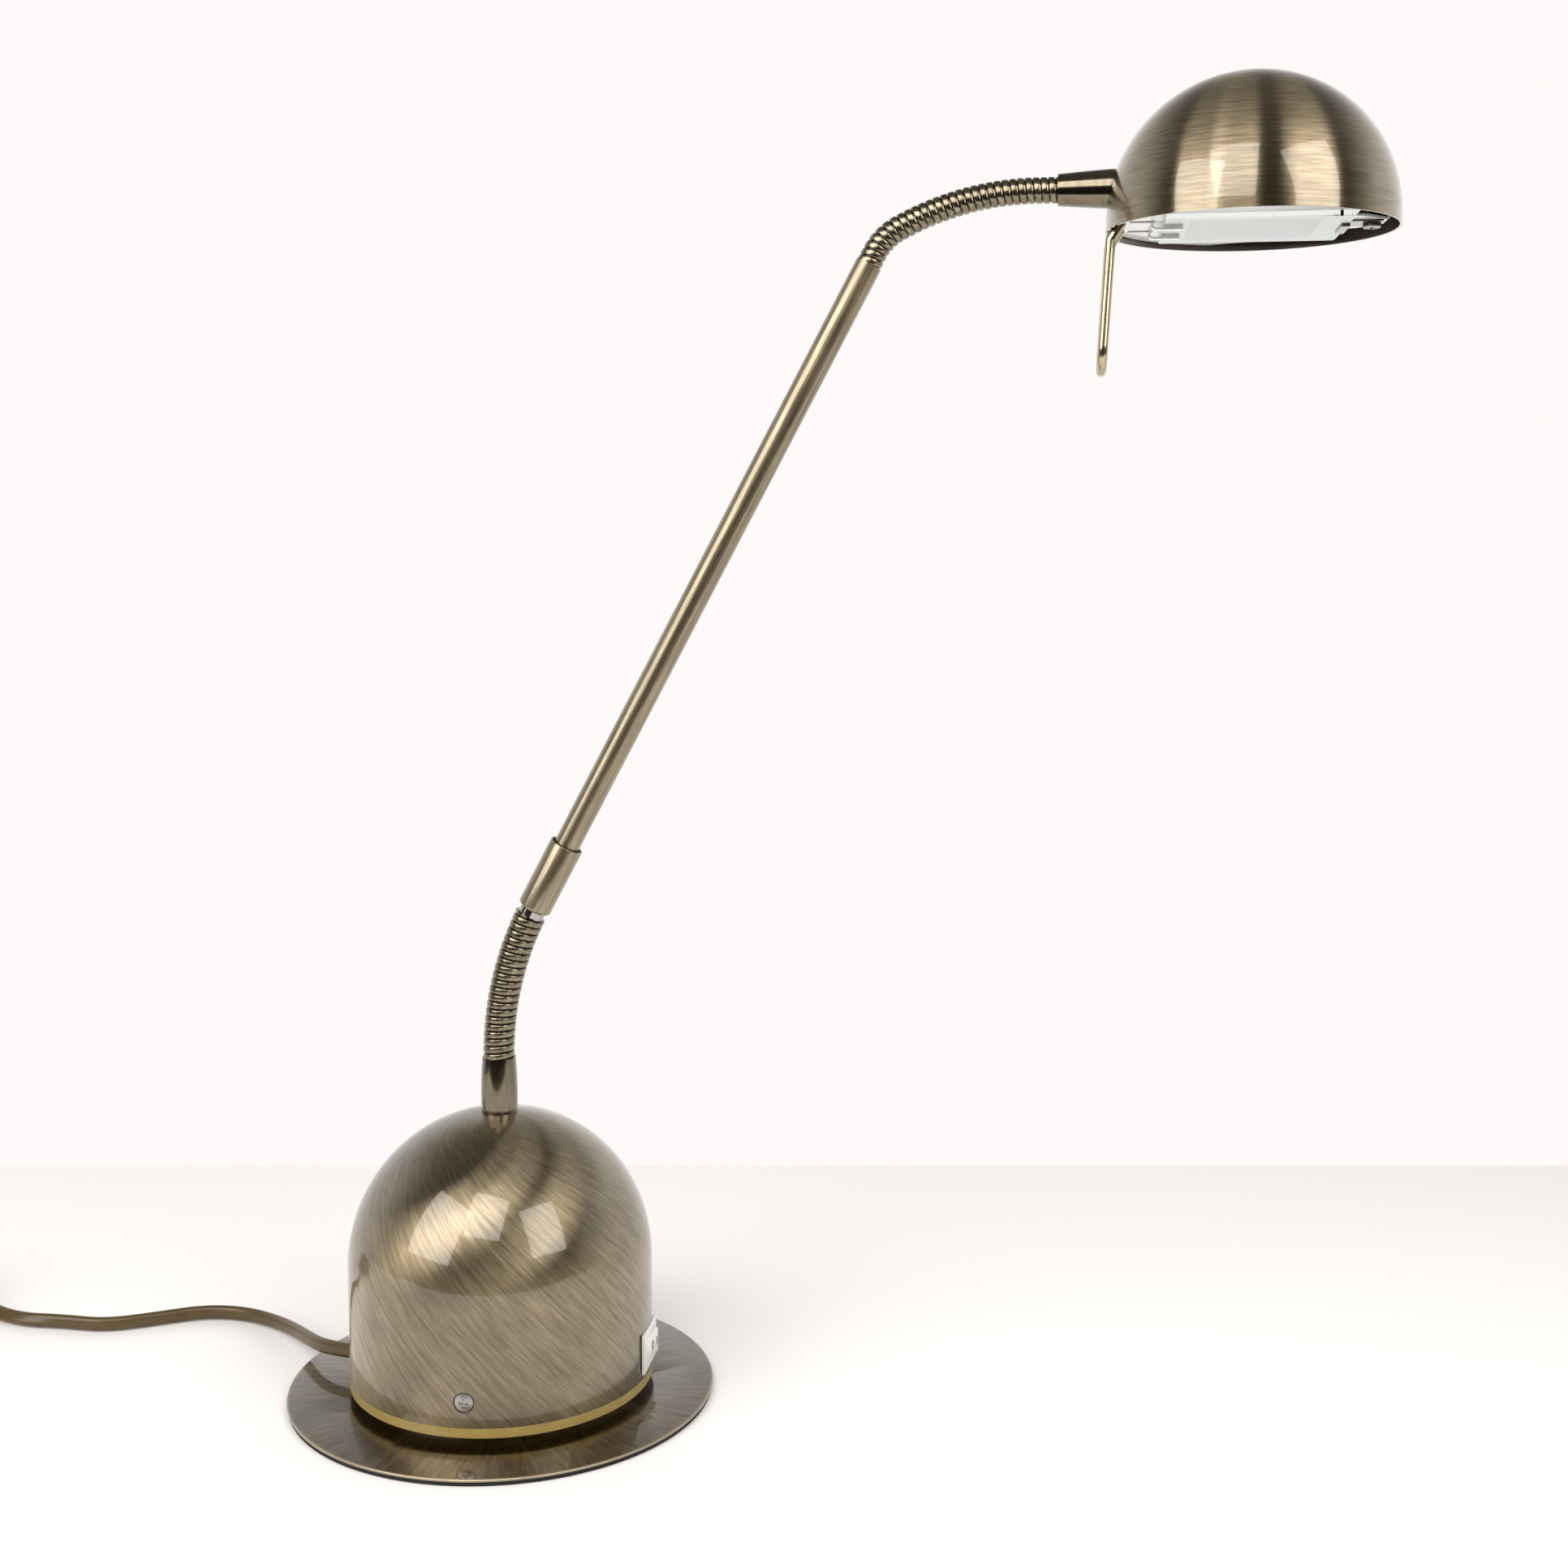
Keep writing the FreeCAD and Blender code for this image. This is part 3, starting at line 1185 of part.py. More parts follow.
def halogen_capsule():
    """Quartz bulb along +X with a flat pinch, its far end rounded."""
    x0 = SHADE_X + HOLDER_BACK_X + HOLDER_L + SEAT_GAP
    z = capsule_z()
    pinch = block(
        x0, x0 + CAPSULE_PINCH_L + 1, -CAPSULE_PINCH_W / 2, CAPSULE_PINCH_W / 2,
        z - CAPSULE_PINCH_T / 2, z + CAPSULE_PINCH_T / 2,
    )
    start = Vector(x0 + CAPSULE_PINCH_L, 0, z)
    barrel = Part.makeCylinder(CAPSULE_R, CAPSULE_L - CAPSULE_PINCH_L - CAPSULE_R, start, Vector(1, 0, 0))
    nose = Part.makeSphere(CAPSULE_R, Vector(x0 + CAPSULE_L - CAPSULE_R, 0, z))
    bulb = joined(pinch, barrel, nose)
    holes = [Part.makeCylinder(PIN_R + RUN_FIT, 3, Vector(x0 - 1, y, z), Vector(1, 0, 0))
             for y in (-PIN_PITCH / 2, PIN_PITCH / 2)]
    return bulb.cut(holes)


def capsule_pins():
    x0 = SHADE_X + HOLDER_BACK_X + HOLDER_L - PIN_L
    return [Part.makeCylinder(PIN_R, PIN_L + 1.9, Vector(x0, y, capsule_z()), Vector(1, 0, 0))
            for y in (-PIN_PITCH / 2, PIN_PITCH / 2)]


def holder_lead():
    """Straight lead from the end of the neck's stub into the back of the lamp holder."""
    start = wall_x(SHADE_R, AXIS_ABOVE_BALL) - 4
    end = SHADE_X + HOLDER_BACK_X - SEAT_GAP
    return Part.makeCylinder(HOLDER_LEAD_R, end - start, Vector(start, 0, NECK_MOUTH.z), Vector(1, 0, 0))


# Wires and cords


def arc_path(points):
    """Straight runs joined by tangent arcs: the edges, the least radius and the length."""
    edges = []
    radii = []
    length = 0.0
    here = points[0]
    for k in range(1, len(points) - 1):
        before = points[k] - points[k - 1]
        after = points[k + 1] - points[k]
        into, out = Vector(before).normalize(), Vector(after).normalize()
        half_turn = into.getAngle(out) / 2
        trim = 0.45 * min(before.Length, after.Length)
        radius = trim / math.tan(half_turn)
        start = points[k] - into * trim
        end = points[k] + out * trim
        inward = (out - into).normalize()
        middle = points[k] + inward * (radius / math.cos(half_turn) - radius)
        edges.append(Part.makeLine(here, start))
        edges.append(arc_edge(start, middle, end))
        length += (start - here).Length + radius * 2 * half_turn
        radii.append(radius)
        here = end
    edges.append(Part.makeLine(here, points[-1]))
    length += (points[-1] - here).Length
    return edges, radii, length


def tube_along(edges, radius):
    """Round tube along the edges in their order."""
    wire = Part.Wire(edges)
    first = edges[0]
    start = first.valueAt(first.FirstParameter)
    tangent = first.tangentAt(first.FirstParameter)
    profile = Part.Wire([Part.Circle(start, tangent, radius).toShape()])
    return wire.makePipeShell([profile], True, False)


def wire_bend(start, tangent, centre, angle):
    """Piece of a ring: the wire's section turned about the centre of its bend."""
    axis = (start - centre).cross(tangent).normalize()
    section = Part.Face(Part.Wire([Part.Circle(start, tangent, WIRE_R).toShape()]))
    return section.revolve(centre, axis, angle)


def wire_run(start, end):
    return Part.makeCylinder(WIRE_R, (end - start).Length, start, end - start)


def handle_loop():
    """Wire loop: two legs hooked over the pan and set out under the rim, and a half-round bow below."""
    top = pan_top() + WIRE_R + SEAT_GAP
    low = RIM_Z - HANDLE_DROP + HANDLE_HALF
    x = SHADE_X + HANDLE_X
    knee_x = x - HANDLE_JOG
    pieces = []
    for side in (-1, 1):
        y = side * HANDLE_HALF
        bend = Vector(x, y, top)
        into = Vector(0, side, 0)
        start = bend - into * HANDLE_CORNER
        end = bend - UP * HANDLE_CORNER
        hip = Vector(x, y, pan_bottom() - FREE_GAP)
        knee = Vector(knee_x, y, RIM_Z - HANDLE_KNEE)
        foot = Vector(knee_x - HANDLE_LEAN, y, low)
        down = (foot - knee).normalize()
        pieces.append(Part.makeCylinder(WIRE_R, HANDLE_HOOK - HANDLE_CORNER, start, into * -1))
        pieces.append(wire_bend(start, into, start - UP * HANDLE_CORNER, 90))
        pieces.extend(wire_run(a, b) for a, b in ((end, hip), (hip, knee), (knee, foot)))
        pieces.extend(Part.makeSphere(WIRE_R, corner) for corner in (hip, knee))
    middle = Vector(foot.x, 0, foot.z)
    pieces.append(wire_bend(foot, down, middle, 180))
    return joined(*pieces)


CORD_FLOOR = CORD_R + CORD_LIFT
COIL_FLOOR = CORD_R + TIE_T + TIE_GAP + CORD_LIFT


def coil_entry():
    """First point of the coil and its direction there."""
    point = coil_point(0.0)
    return point, coil_direction(0.0)


def coil_levels():
    """Turn counts at which the spiral reverses."""
    return [COIL_TURNS * k for k in range(COIL_LAYERS + 1)]


COIL_START_ANGLE = 90.0


def coil_point(turns):
    """Point of the coil's axis after a number of turns: in and out, a layer up at each reversal."""
    layer = min(int(turns / COIL_TURNS), COIL_LAYERS - 1)
    share = turns / COIL_TURNS - layer
    inward = layer % 2 == 0
    span = COIL_OUTER_R - COIL_INNER_R
    radius = COIL_OUTER_R - span * share if inward else COIL_INNER_R + span * share
    height = COIL_FLOOR
    for k in range(1, COIL_LAYERS):
        climb = (turns - COIL_TURNS * k + 0.25) / 0.5
        height += COIL_STEP * smooth(climb)
    a = math.radians(COIL_START_ANGLE + 360 * turns)
    return Vector(COIL_X + radius * math.cos(a), COIL_Y + radius * math.sin(a), height)


def smooth(t):
    t = max(0.0, min(1.0, t))
    return t * t * (3 - 2 * t)


def coil_direction(turns):
    step = 1e-4
    low = max(0.0, turns - step)
    high = min(COIL_TURNS * COIL_LAYERS, turns + step)
    return (coil_point(high) - coil_point(low)).normalize()


def biarc(p0, t0, p1, t1):
    """Two arcs that leave p0 along t0 and reach p1 along t1."""
    v = p1 - p0
    t = t0 + t1
    vt = v.dot(t)
    denominator = 2 * (1 - t0.dot(t1))
    if denominator < 1e-12:
        d = v.dot(v) / (4 * v.dot(t1))
    else:
        d = (math.sqrt(vt * vt + denominator * v.dot(v)) - vt) / denominator
    middle = (p0 + p1 + (t0 - t1) * d) * 0.5
    return [tangent_arc(p0, t0, middle), tangent_arc(middle, (p1 - t1 * d - middle).normalize(), p1)]


def tangent_arc(start, tangent, end):
    """Arc from start, leaving along tangent, to end."""
    chord = end - start
    along = chord.dot(tangent)
    across = chord - tangent * along
    if across.Length < 1e-7:
        return Part.makeLine(start, end)
    side = Vector(across).normalize()
    radius = chord.dot(chord) / (2 * across.Length)
    centre = start + side * radius
    half = math.atan2(across.Length, along)
    middle = centre + tangent * (radius * math.sin(half)) - side * (radius * math.cos(half))
    return arc_edge(start, middle, end)


def coil_edges():
    """Straight lead-in, quarter-turn biarcs, straight lead-out."""
    total = COIL_TURNS * COIL_LAYERS
    quarters = int(round(total * 4))
    edges = []
    entry, direction = coil_entry()
    edges.append(Part.makeLine(entry - direction * (2 * CORD_R), entry))
    for k in range(quarters):
        a, b = total * k / quarters, total * (k + 1) / quarters
        edges += biarc(coil_point(a), coil_direction(a), coil_point(b), coil_direction(b))
    end, leaving = coil_point(total), coil_direction(total)
    edges.append(Part.makeLine(end, end + leaving * (2 * CORD_R)))
    return edges


def least_gap(points, pitch_points, near):
    """Least distance between turns of a wound tube, from points spaced along its axis."""
    least = 1e9
    for i in range(0, len(points), 2):
        for j in range(i + near, len(points), 2):
            distance = (points[i] - points[j]).Length
            least = min(least, distance)
    return least - 2 * CORD_R


def report(name, solid, length, radius, radii):
    volume = math.pi * radius**2 * length
    print(name, "length %.1f" % length, "volume %.4f of its section times length" % (solid.Volume / volume),
          "least radius %.1f" % min(radii))


def cord_route():
    """Free stretch from the dome's wall, down over the plate and along the table to the coil."""
    entry, direction = coil_entry()
    meet = entry - direction * (2 * CORD_R)
    start = Vector(*CORD_EXIT)
    z = CORD_FLOOR
    fall = start.z - z
    offsets = [
        (-18.0, 9.2, 0.79), (-26.8, 19.3, 0.59), (-37.3, 32.0, 0.31), (-49.8, 44.2, 0.06),
        (-66.3, 52.2, 0), (-84.3, 52.0, 0), (-101.3, 41.8, 0), (-118.8, 32.4, 0), (-138.3, 34.0, 0),
        (-155.3, 33.2, 0), (-171.8, 39.5, 0), (-189.0, 51.8, 0.01),
    ]
    free = [Vector(start.x + x, start.y + y, z + fall * share) for x, y, share in offsets]
    before = meet - direction * 8 + Vector(0, 0, COIL_FLOOR - meet.z)
    last = Vector(meet.x + 18.9, meet.y - 1.7, z + 0.5)
    return [start, start + cord_heading() * 9.5] + free + [last, before, meet]


def tail_route():
    """From the coil's last turn down to the table and into the plug."""
    total = COIL_TURNS * COIL_LAYERS
    leaving = coil_direction(total)
    start = coil_point(total) + leaving * (2 * CORD_R)
    side = Vector(leaving.y, -leaving.x, 0)
    z_top = start.z
    drop = z_top - PLUG_H / 2 - CORD_LIFT
    offsets = [
        (0, 0, 0), (10, 0, 0), (24, 1.0, 0.2), (39, 2.0, 0.6), (55, 2.2, 0.95), (68, 2.2, 1.0), (79, 2.2, 1.0),
    ]
    return [start + leaving * a + side * b - Vector(0, 0, drop * c) for a, b, c in offsets]


def cord_tie():
    """Flat band round the bundle of turns."""
    first = (TIE_ANGLE - COIL_START_ANGLE) / 360 % 1
    turns = [first + k for k in range(int(COIL_TURNS * COIL_LAYERS - first) + 1)]
    middle = Vector(COIL_X, COIL_Y, 0)
    crossings = [coil_point(t) - middle for t in turns]
    radii = [math.hypot(p.x, p.y) for p in crossings]
    reach = CORD_R + TIE_GAP
    near, far = min(radii) - reach, max(radii) + reach
    low, high = min(p.z for p in crossings) - reach, max(p.z for p in crossings) + reach
    inner = block(near, far, -TIE_W, TIE_W, low, high)
    outer = block(near - TIE_T, far + TIE_T, -TIE_W / 2, TIE_W / 2, low - TIE_T, high + TIE_T)
    band = outer.makeFillet(TIE_T, [e for e in outer.Edges if abs(e.tangentAt(e.FirstParameter).y) > 0.9])
    band = band.cut(inner)
    band.Placement = Placement(middle, Rotation(UP, TIE_ANGLE))
    return band


def plug_frame():
    """End of the tail, where the plug's relief starts, with +Z along the cord."""
    route = tail_route()
    along = (route[-1] - route[-2])
    along.z = 0
    along.normalize()
    return route[-1], along


def plug_pieces():
    end, along = plug_frame()
    turn = Rotation(UP, math.degrees(math.atan2(along.y, along.x)))
    relief = Part.makeCone(CORD_R + 0.3, PLUG_RELIEF_R, PLUG_RELIEF_L, ORIGIN, Vector(1, 0, 0))
    half_h = PLUG_H / 2
    back = PLUG_RELIEF_L
    front = back + PLUG_L
    outline = [
        Vector(back, -PLUG_BACK_W / 2, -half_h), Vector(back + PLUG_L * 0.45, -PLUG_FRONT_W / 2, -half_h),
        Vector(front, -PLUG_FRONT_W / 2, -half_h), Vector(front, PLUG_FRONT_W / 2, -half_h),
        Vector(back + PLUG_L * 0.45, PLUG_FRONT_W / 2, -half_h), Vector(back, PLUG_BACK_W / 2, -half_h),
    ]
    body = Part.Face(Part.makePolygon(outline + outline[:1])).extrude(Vector(0, 0, PLUG_H))
    body = body.makeFillet(3.0, [e for e in body.Edges if abs(e.tangentAt(e.FirstParameter).z) > 0.9])
    flat = [e for e in body.Edges if e.BoundBox.ZLength < 0.01]
    body = body.makeFillet(1.5, flat)
    holes = []
    pins = []
    for y in (-PLUG_PIN_PITCH / 2, PLUG_PIN_PITCH / 2):
        pin = Part.makeCylinder(
            PLUG_PIN_R, PLUG_PIN_L + 8 - PLUG_PIN_R, Vector(front - 8, y, 0), Vector(1, 0, 0)
        )
        tip = Part.makeSphere(PLUG_PIN_R, Vector(front + PLUG_PIN_L - PLUG_PIN_R, y, 0))
        pins.append(joined(pin, tip))
        holes.append(Part.makeCylinder(PLUG_PIN_R + RUN_FIT, 20, Vector(front - 8 - RUN_FIT, y, 0), Vector(1, 0, 0)))
    plug = joined(body, relief).cut(holes)
    placement = Placement(end, turn)
    for shape in [plug] + pins:
        shape.Placement = placement.multiply(shape.Placement)
    return plug, pins


def mains_lead_inner():
    """The cord from inside the clamp to the dome's hole, where the free stretch begins."""
    return cord_bore(CORD_R, INNER_LEAD_L, 0)


def clamp_middle():
    """Where the cord's axis passes the clamp."""
    start = Vector(*CORD_EXIT)
    return start - cord_heading() * CLAMP_BACK


def cord_clamp():
    """Bridge over the cord with a screw on each side."""
    middle = clamp_middle()
    low = TRAY_FLOOR_TOP + SEAT_GAP / 2
    top = middle.z + CORD_R + CLAMP_T
    x0, x1 = middle.x - CLAMP_W / 2, middle.x + CLAMP_W / 2
    bridge = block(x0, x1, middle.y - CLAMP_L / 2, middle.y + CLAMP_L / 2, low, top)
    bridge = bridge.makeFillet(1.5, [
        e for e in bridge.Edges if abs(e.tangentAt(e.FirstParameter).x) > 0.9 and e.BoundBox.ZMin > top - 0.01
    ])
    cutters = [cord_bore(CORD_R + RUN_FIT, INNER_LEAD_L + 10, 0)]
    cutters += [rod(CLAMP_SCREW_R + RUN_FIT, low - 1, top + 1, x, y) for x, y in clamp_screw_places()]
    return bridge.cut(cutters)


def clamp_screw_places():
    middle = clamp_middle()
    reach = CLAMP_L / 2 - 2.5
    return [(middle.x, middle.y - reach), (middle.x, middle.y + reach)]


def clamp_screws():
    top = clamp_middle().z + CORD_R + CLAMP_T
    low = TRAY_FLOOR_TOP + 0.3
    screws = []
    for x, y in clamp_screw_places():
        head = rod(2 * CLAMP_SCREW_R, top + RUN_FIT, top + 1.5, x, y)
        screws.append(joined(head, rod(CLAMP_SCREW_R, low, top + 1, x, y)))
    return screws


def main():
    os.makedirs("parts", exist_ok=True)

    export("base_pad", base_pad())
    export("base_disc", base_disc())
    export("plate_screws", *plate_screws())
    export("base_tray", base_tray())
    export("base_dome", base_dome())
    export("dome_screws", *dome_screws())

    export("transformer_core", transformer_core())
    export("transformer_bobbin", transformer_bobbin())
    primary, secondary = windings()
    export("primary_winding", primary)
    export("secondary_winding", secondary)
    export("transformer_frame", transformer_frame())
    export("transformer_screws", *transformer_screws())
    export("terminal_block", terminal_block())
    export("terminal_screws", *terminal_screws())
    export("block_screw", block_screw())
    export("cord_clamp", cord_clamp())
    export("clamp_screws", *clamp_screws())
    export("mains_lead_inner", mains_lead_inner())

    export("switch_housing", switch_housing())
    export("switch_rocker", switch_rocker())
    export("switch_terminals", *switch_terminals())

    export("lower_ferrule", lower_ferrule())
    export("neck_root", neck_root())
    export("root_washer", root_washer())
    export("root_nut", root_nut())

    lower = neck(NECK_START, 0.0, LOWER_PATH, LOWER_RIBBED, LOWER_BANDS,
                 LOWER_BAND_R, LOWER_GROOVE_R, LOWER_BORE_R)
    upper = neck(TUBE_END, ARM_HEADING, UPPER_PATH, UPPER_LENGTH, UPPER_BANDS,
                 UPPER_BAND_R, UPPER_GROOVE_R, UPPER_BORE_R)
    for number in range(NECK_SECTIONS):
        export("lower_neck_%d" % (number + 1), lower[number])
        export("upper_neck_%d" % (number + 1), upper[number])

    export("lower_neck_end", lower_neck_end())
    export("arm_sleeve", arm_sleeve())
    export("arm_nipple", arm_nipple())
    export("arm_tube", arm_tube())
    export("lamp_lead", lamp_lead())
    export("upper_neck_root", upper_neck_root())

    export("upper_neck_end", upper_neck_end())
    export("shade_ferrule", shade_ferrule())
    export("shade_nut", shade_nut())
    export("shade_dome", shade_dome())
    export("shade_bracket", shade_bracket())
    export("reflector_pan", reflector_pan())
    export("lamp_holder", lamp_holder())
    export("holder_screw", holder_screw())
    export("halogen_capsule", halogen_capsule())
    export("capsule_pins", *capsule_pins())
    export("holder_lead", holder_lead())
    export("glass_pane", glass_pane())
    export("glass_clip", glass_clip())
    export("clip_screw", clip_screw())
    export("handle_loop", handle_loop())

    edges, radii, length = arc_path(cord_route())
    lead = tube_along(edges, CORD_R)
    report("cord_lead", lead, length, CORD_R, radii)
    print("cord_lead radii", " ".join("%.0f" % r for r in radii), "lowest z %.2f" % lead.optimalBoundingBox(False).ZMin)
    export("cord_lead", lead)

    wound = coil_edges()
    coil = tube_along(wound, CORD_R)
    coil_length = sum(e.Length for e in wound)
    steps = int(COIL_TURNS * COIL_LAYERS * 60)
    axis = [coil_point(COIL_TURNS * COIL_LAYERS * k / steps) for k in range(steps + 1)]
    print("cord_coil length %.1f" % coil_length, "least gap %.2f" % least_gap(axis, steps, 30),
          "volume %.4f" % (coil.Volume / (math.pi * CORD_R**2 * coil_length)))
    export("cord_coil", coil)

    edges, radii, length_tail = arc_path(tail_route())
    tail = tube_along(edges, CORD_R)
    report("cord_tail", tail, length_tail, CORD_R, radii)
    export("cord_tail", tail)
    print("whole cord %.0f" % (length + coil_length + length_tail))
    export("cord_tie", cord_tie())
    plug, pins = plug_pieces()
    export("plug_body", plug)
    export("plug_pins", *pins)

    for name, hinges in (("lower", neck_hinges(NECK_START, 0.0, LOWER_PATH, LOWER_RIBBED)),
                         ("upper", neck_hinges(TUBE_END, ARM_HEADING, UPPER_PATH, UPPER_LENGTH))):
        for point, angle in hinges:
            print(name, "neck bends at %.3f %.3f %.3f" % tuple(point), "heading %.3f" % angle)
    print("rocker pivot %.3f %.3f %.3f" % tuple(rocker_pivot()))
    print("shade rim at z %.2f, neck mouth x %.2f z %.2f" % (RIM_Z, NECK_MOUTH.x, NECK_MOUTH.z))


main()
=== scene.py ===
import json
import math

import bmesh
import bpy
from mathutils import Matrix, Vector


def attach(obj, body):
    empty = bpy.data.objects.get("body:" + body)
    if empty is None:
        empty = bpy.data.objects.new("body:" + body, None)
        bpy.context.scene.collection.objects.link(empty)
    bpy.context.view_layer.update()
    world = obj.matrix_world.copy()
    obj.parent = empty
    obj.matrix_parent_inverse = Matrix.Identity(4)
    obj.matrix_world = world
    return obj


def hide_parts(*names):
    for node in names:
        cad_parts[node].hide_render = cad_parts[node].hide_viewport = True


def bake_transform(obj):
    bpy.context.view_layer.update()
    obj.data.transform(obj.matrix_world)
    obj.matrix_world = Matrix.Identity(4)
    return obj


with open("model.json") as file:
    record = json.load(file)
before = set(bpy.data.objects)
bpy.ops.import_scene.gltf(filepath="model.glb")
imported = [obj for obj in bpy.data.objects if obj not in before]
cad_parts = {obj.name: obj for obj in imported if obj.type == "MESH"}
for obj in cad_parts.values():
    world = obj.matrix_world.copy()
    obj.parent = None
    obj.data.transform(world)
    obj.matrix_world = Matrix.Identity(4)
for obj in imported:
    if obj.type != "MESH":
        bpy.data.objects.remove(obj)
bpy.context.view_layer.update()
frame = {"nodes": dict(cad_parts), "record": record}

MM = 0.001
MERGE = 0.002 * MM
SCENE = bpy.context.scene

# Sizes and places of the lamp, in millimetres and degrees
DOME_R = 57.5
DOME_CENTRE = (0, 0, 51.0)
DOME_STROKE_LEAN = 48
DOME_SCREW_Z = 19.0
DOME_SCREW_TURN = 2.4
DOME_SCREW_HEAD_R = 3.44
# Ring of painted shadow round the dome screws' heads: its outer radius and thickness
SHADOW_RING_R = 3.85
SHADOW_RING_T = 0.3
# Inner radius of the painted highlight along the plate's rim
PLATE_HIGHLIGHT_R = 79.3
PLATE_R = 80.6
SHADE_CENTRE = (272.89, 0, 434.84)
SHADE_R = 50.0
SHADE_INSIDE_R = 49.35
ARM_FOOT = (14.28, 0, 186.27)
ARM_HEADING = 28.0
ROCKER_PIVOT = Vector((55.4, 0, 19.6))
ROCKER_TILT = 8
ROCKER_DISH = 0.0175
MARK_PROUD = 3.46
MARK_H = 3.3
MARK_T = 0.1
BAR_W = 0.5
RING_WIDTH = 0.62
RING_LINE = 0.42
BAR_ALONG = 4.9
RING_ALONG = 0.5


# Camera, table and light


def place_camera():
    data = bpy.data.cameras.new("view")
    data.lens = 44.74
    data.sensor_width = 36
    data.shift_y = -0.0518
    camera = bpy.data.objects.new("view", data)
    camera.location = (0.2080, -0.7033, 0.3242)
    forward = Vector((-0.13869, 0.98683, -0.08330))
    camera.rotation_euler = forward.to_track_quat("-Z", "Y").to_euler()
    SCENE.collection.objects.link(camera)
    SCENE.camera = camera


def softbox(name, place, width, height, radiance, tint):
    """Rectangular light aimed at the middle of the lamp."""
    data = bpy.data.lights.new(name, "AREA")
    data.shape = "RECTANGLE"
    data.size = width
    data.size_y = height
    data.energy = radiance * math.pi * width * height
    data.color = tint
    lamp = bpy.data.objects.new(name, data)
    lamp.location = place
    aim = Vector((0.12, 0, 0.25)) - Vector(place)
    lamp.rotation_euler = aim.to_track_quat("-Z", "Y").to_euler()
    SCENE.collection.objects.link(lamp)


def studio():
    world = bpy.data.worlds.new("studio")
    SCENE.world = world
    world.use_nodes = True
    graph = Graph(world.node_tree)
    background = world.node_tree.nodes["Background"]
    rays = graph.node("LightPath")
    way = graph.node("TexCoord").outputs["Generated"]
    parts = graph.node("SeparateXYZ", {"Vector": way})
    rear = graph.between(parts.outputs["Y"], -0.35, 0.35)
    above = graph.between(parts.outputs["Z"], 0.3, 0.85)
    side = graph.mix(rear, (0.03, 0.027, 0.024, 1), (0.97, 0.955, 0.945, 1))
    room = graph.mix(above, side, (0.17, 0.16, 0.15, 1))
    seen = graph.math("MAXIMUM", rays.outputs["Is Camera Ray"], rays.outputs["Is Transmission Ray"])
    graph.join(graph.mix(seen, room, (0.983, 0.956, 0.947, 1)), background.inputs["Color"])
    strength = graph.math("MULTIPLY_ADD", rays.outputs["Is Diffuse Ray"], 1.15, 1.0)
    graph.join(strength, background.inputs["Strength"])


# Short names for node graphs


class Graph:
    """The nodes of one material or world."""

    def __init__(self, tree):
        self.tree = tree

    def node(self, kind, inputs=None, **settings):
        made = self.tree.nodes.new("ShaderNode" + kind)
        for key, value in settings.items():
            setattr(made, key, value)
        for key, value in (inputs or {}).items():
            self.join(value, made.inputs[key])
        return made

    def join(self, value, socket):
        if isinstance(value, bpy.types.NodeSocket):
            self.tree.links.new(value, socket)
        else:
            socket.default_value = value

    def math(self, operation, *values):
        made = self.node("Math", operation=operation)
        for socket, value in zip(made.inputs, values):
            self.join(value, socket)
        return made.outputs[0]

    def between(self, value, low, high):
        """0 below low, 1 above high, eased in between."""
        made = self.node("MapRange", {"Value": value, "From Min": low, "From Max": high},
                         interpolation_type="SMOOTHSTEP")
        return made.outputs["Result"]

    def mix(self, share, a, b):
        made = self.node("Mix", data_type="RGBA")
        self.join(share, made.inputs[0])
        self.join(a, made.inputs[6])
        self.join(b, made.inputs[7])
        return made.outputs[2]

    def blend(self, share, a, b):
        made = self.node("Mix", data_type="FLOAT")
        self.join(share, made.inputs[0])
        self.join(a, made.inputs[2])
        self.join(b, made.inputs[3])
        return made.outputs[0]

    def vector(self, x, y, z):
        return self.node("CombineXYZ", {"X": x, "Y": y, "Z": z}).outputs[0]

    def scaled(self, where, factor):
        return self.node("VectorMath", {0: where, "Scale": factor}, operation="SCALE").outputs[0]

    def along(self, where, direction):
        made = self.node("VectorMath", {0: where, 1: direction}, operation="DOT_PRODUCT")
        return made.outputs["Value"]

    def noise(self, where, detail=2.0, roughness=0.55):
        made = self.node("TexNoise", {"Vector": where, "Scale": 1.0, "Detail": detail,
                                      "Roughness": roughness})
        return made.outputs["Fac"]

    def ramp(self, value, *stops):
        made = self.node("ValToRGB", {"Fac": value})
        elements = made.color_ramp.elements
        while len(elements) < len(stops):
            elements.new(0.5)
        for element, (place, colour) in zip(elements, stops):
            element.position = place
            element.color = (*colour, 1)
        return made.outputs["Color"]


def finish_named(name, **values):
    """New material and the graph of its nodes, with plain numbers on its shader's own sockets."""
    material = bpy.data.materials.new(name)
    material.use_nodes = True
    graph = Graph(material.node_tree)
    shader = material.node_tree.nodes["Principled BSDF"]
    for key, value in values.items():
        socket = shader.inputs[key.replace("_", " ").title().replace("Ior", "IOR")]
        socket.default_value = (*value, 1) if isinstance(value, tuple) else value
    return material, graph, shader


def place_of(graph, middle):
    """Object coordinates measured from a point, in millimetres."""
    where = graph.node("TexCoord").outputs["Object"]
    moved = graph.node("VectorMath", {0: where, 1: tuple(-v * MM for v in middle)}, operation="ADD")
    return graph.scaled(moved.outputs[0], 1 / MM)


def wear(graph, where):
    """Small marks and specks in a lacquered surface, 1 on a mark."""
    cells = graph.node("TexVoronoi", {"Vector": where, "Scale": 0.16}, feature="F1")
    size = graph.math("MULTIPLY", graph.noise(where, 1.0), 0.16)
    return graph.math("LESS_THAN", cells.outputs["Distance"], graph.math("SUBTRACT", size, 0.055))


BRASS_TONES = (0.085, 0.066, 0.038), (0.235, 0.188, 0.118), (0.43, 0.36, 0.235)
PLATE_TONES = (0.075, 0.058, 0.036), (0.175, 0.14, 0.092), (0.36, 0.3, 0.2)


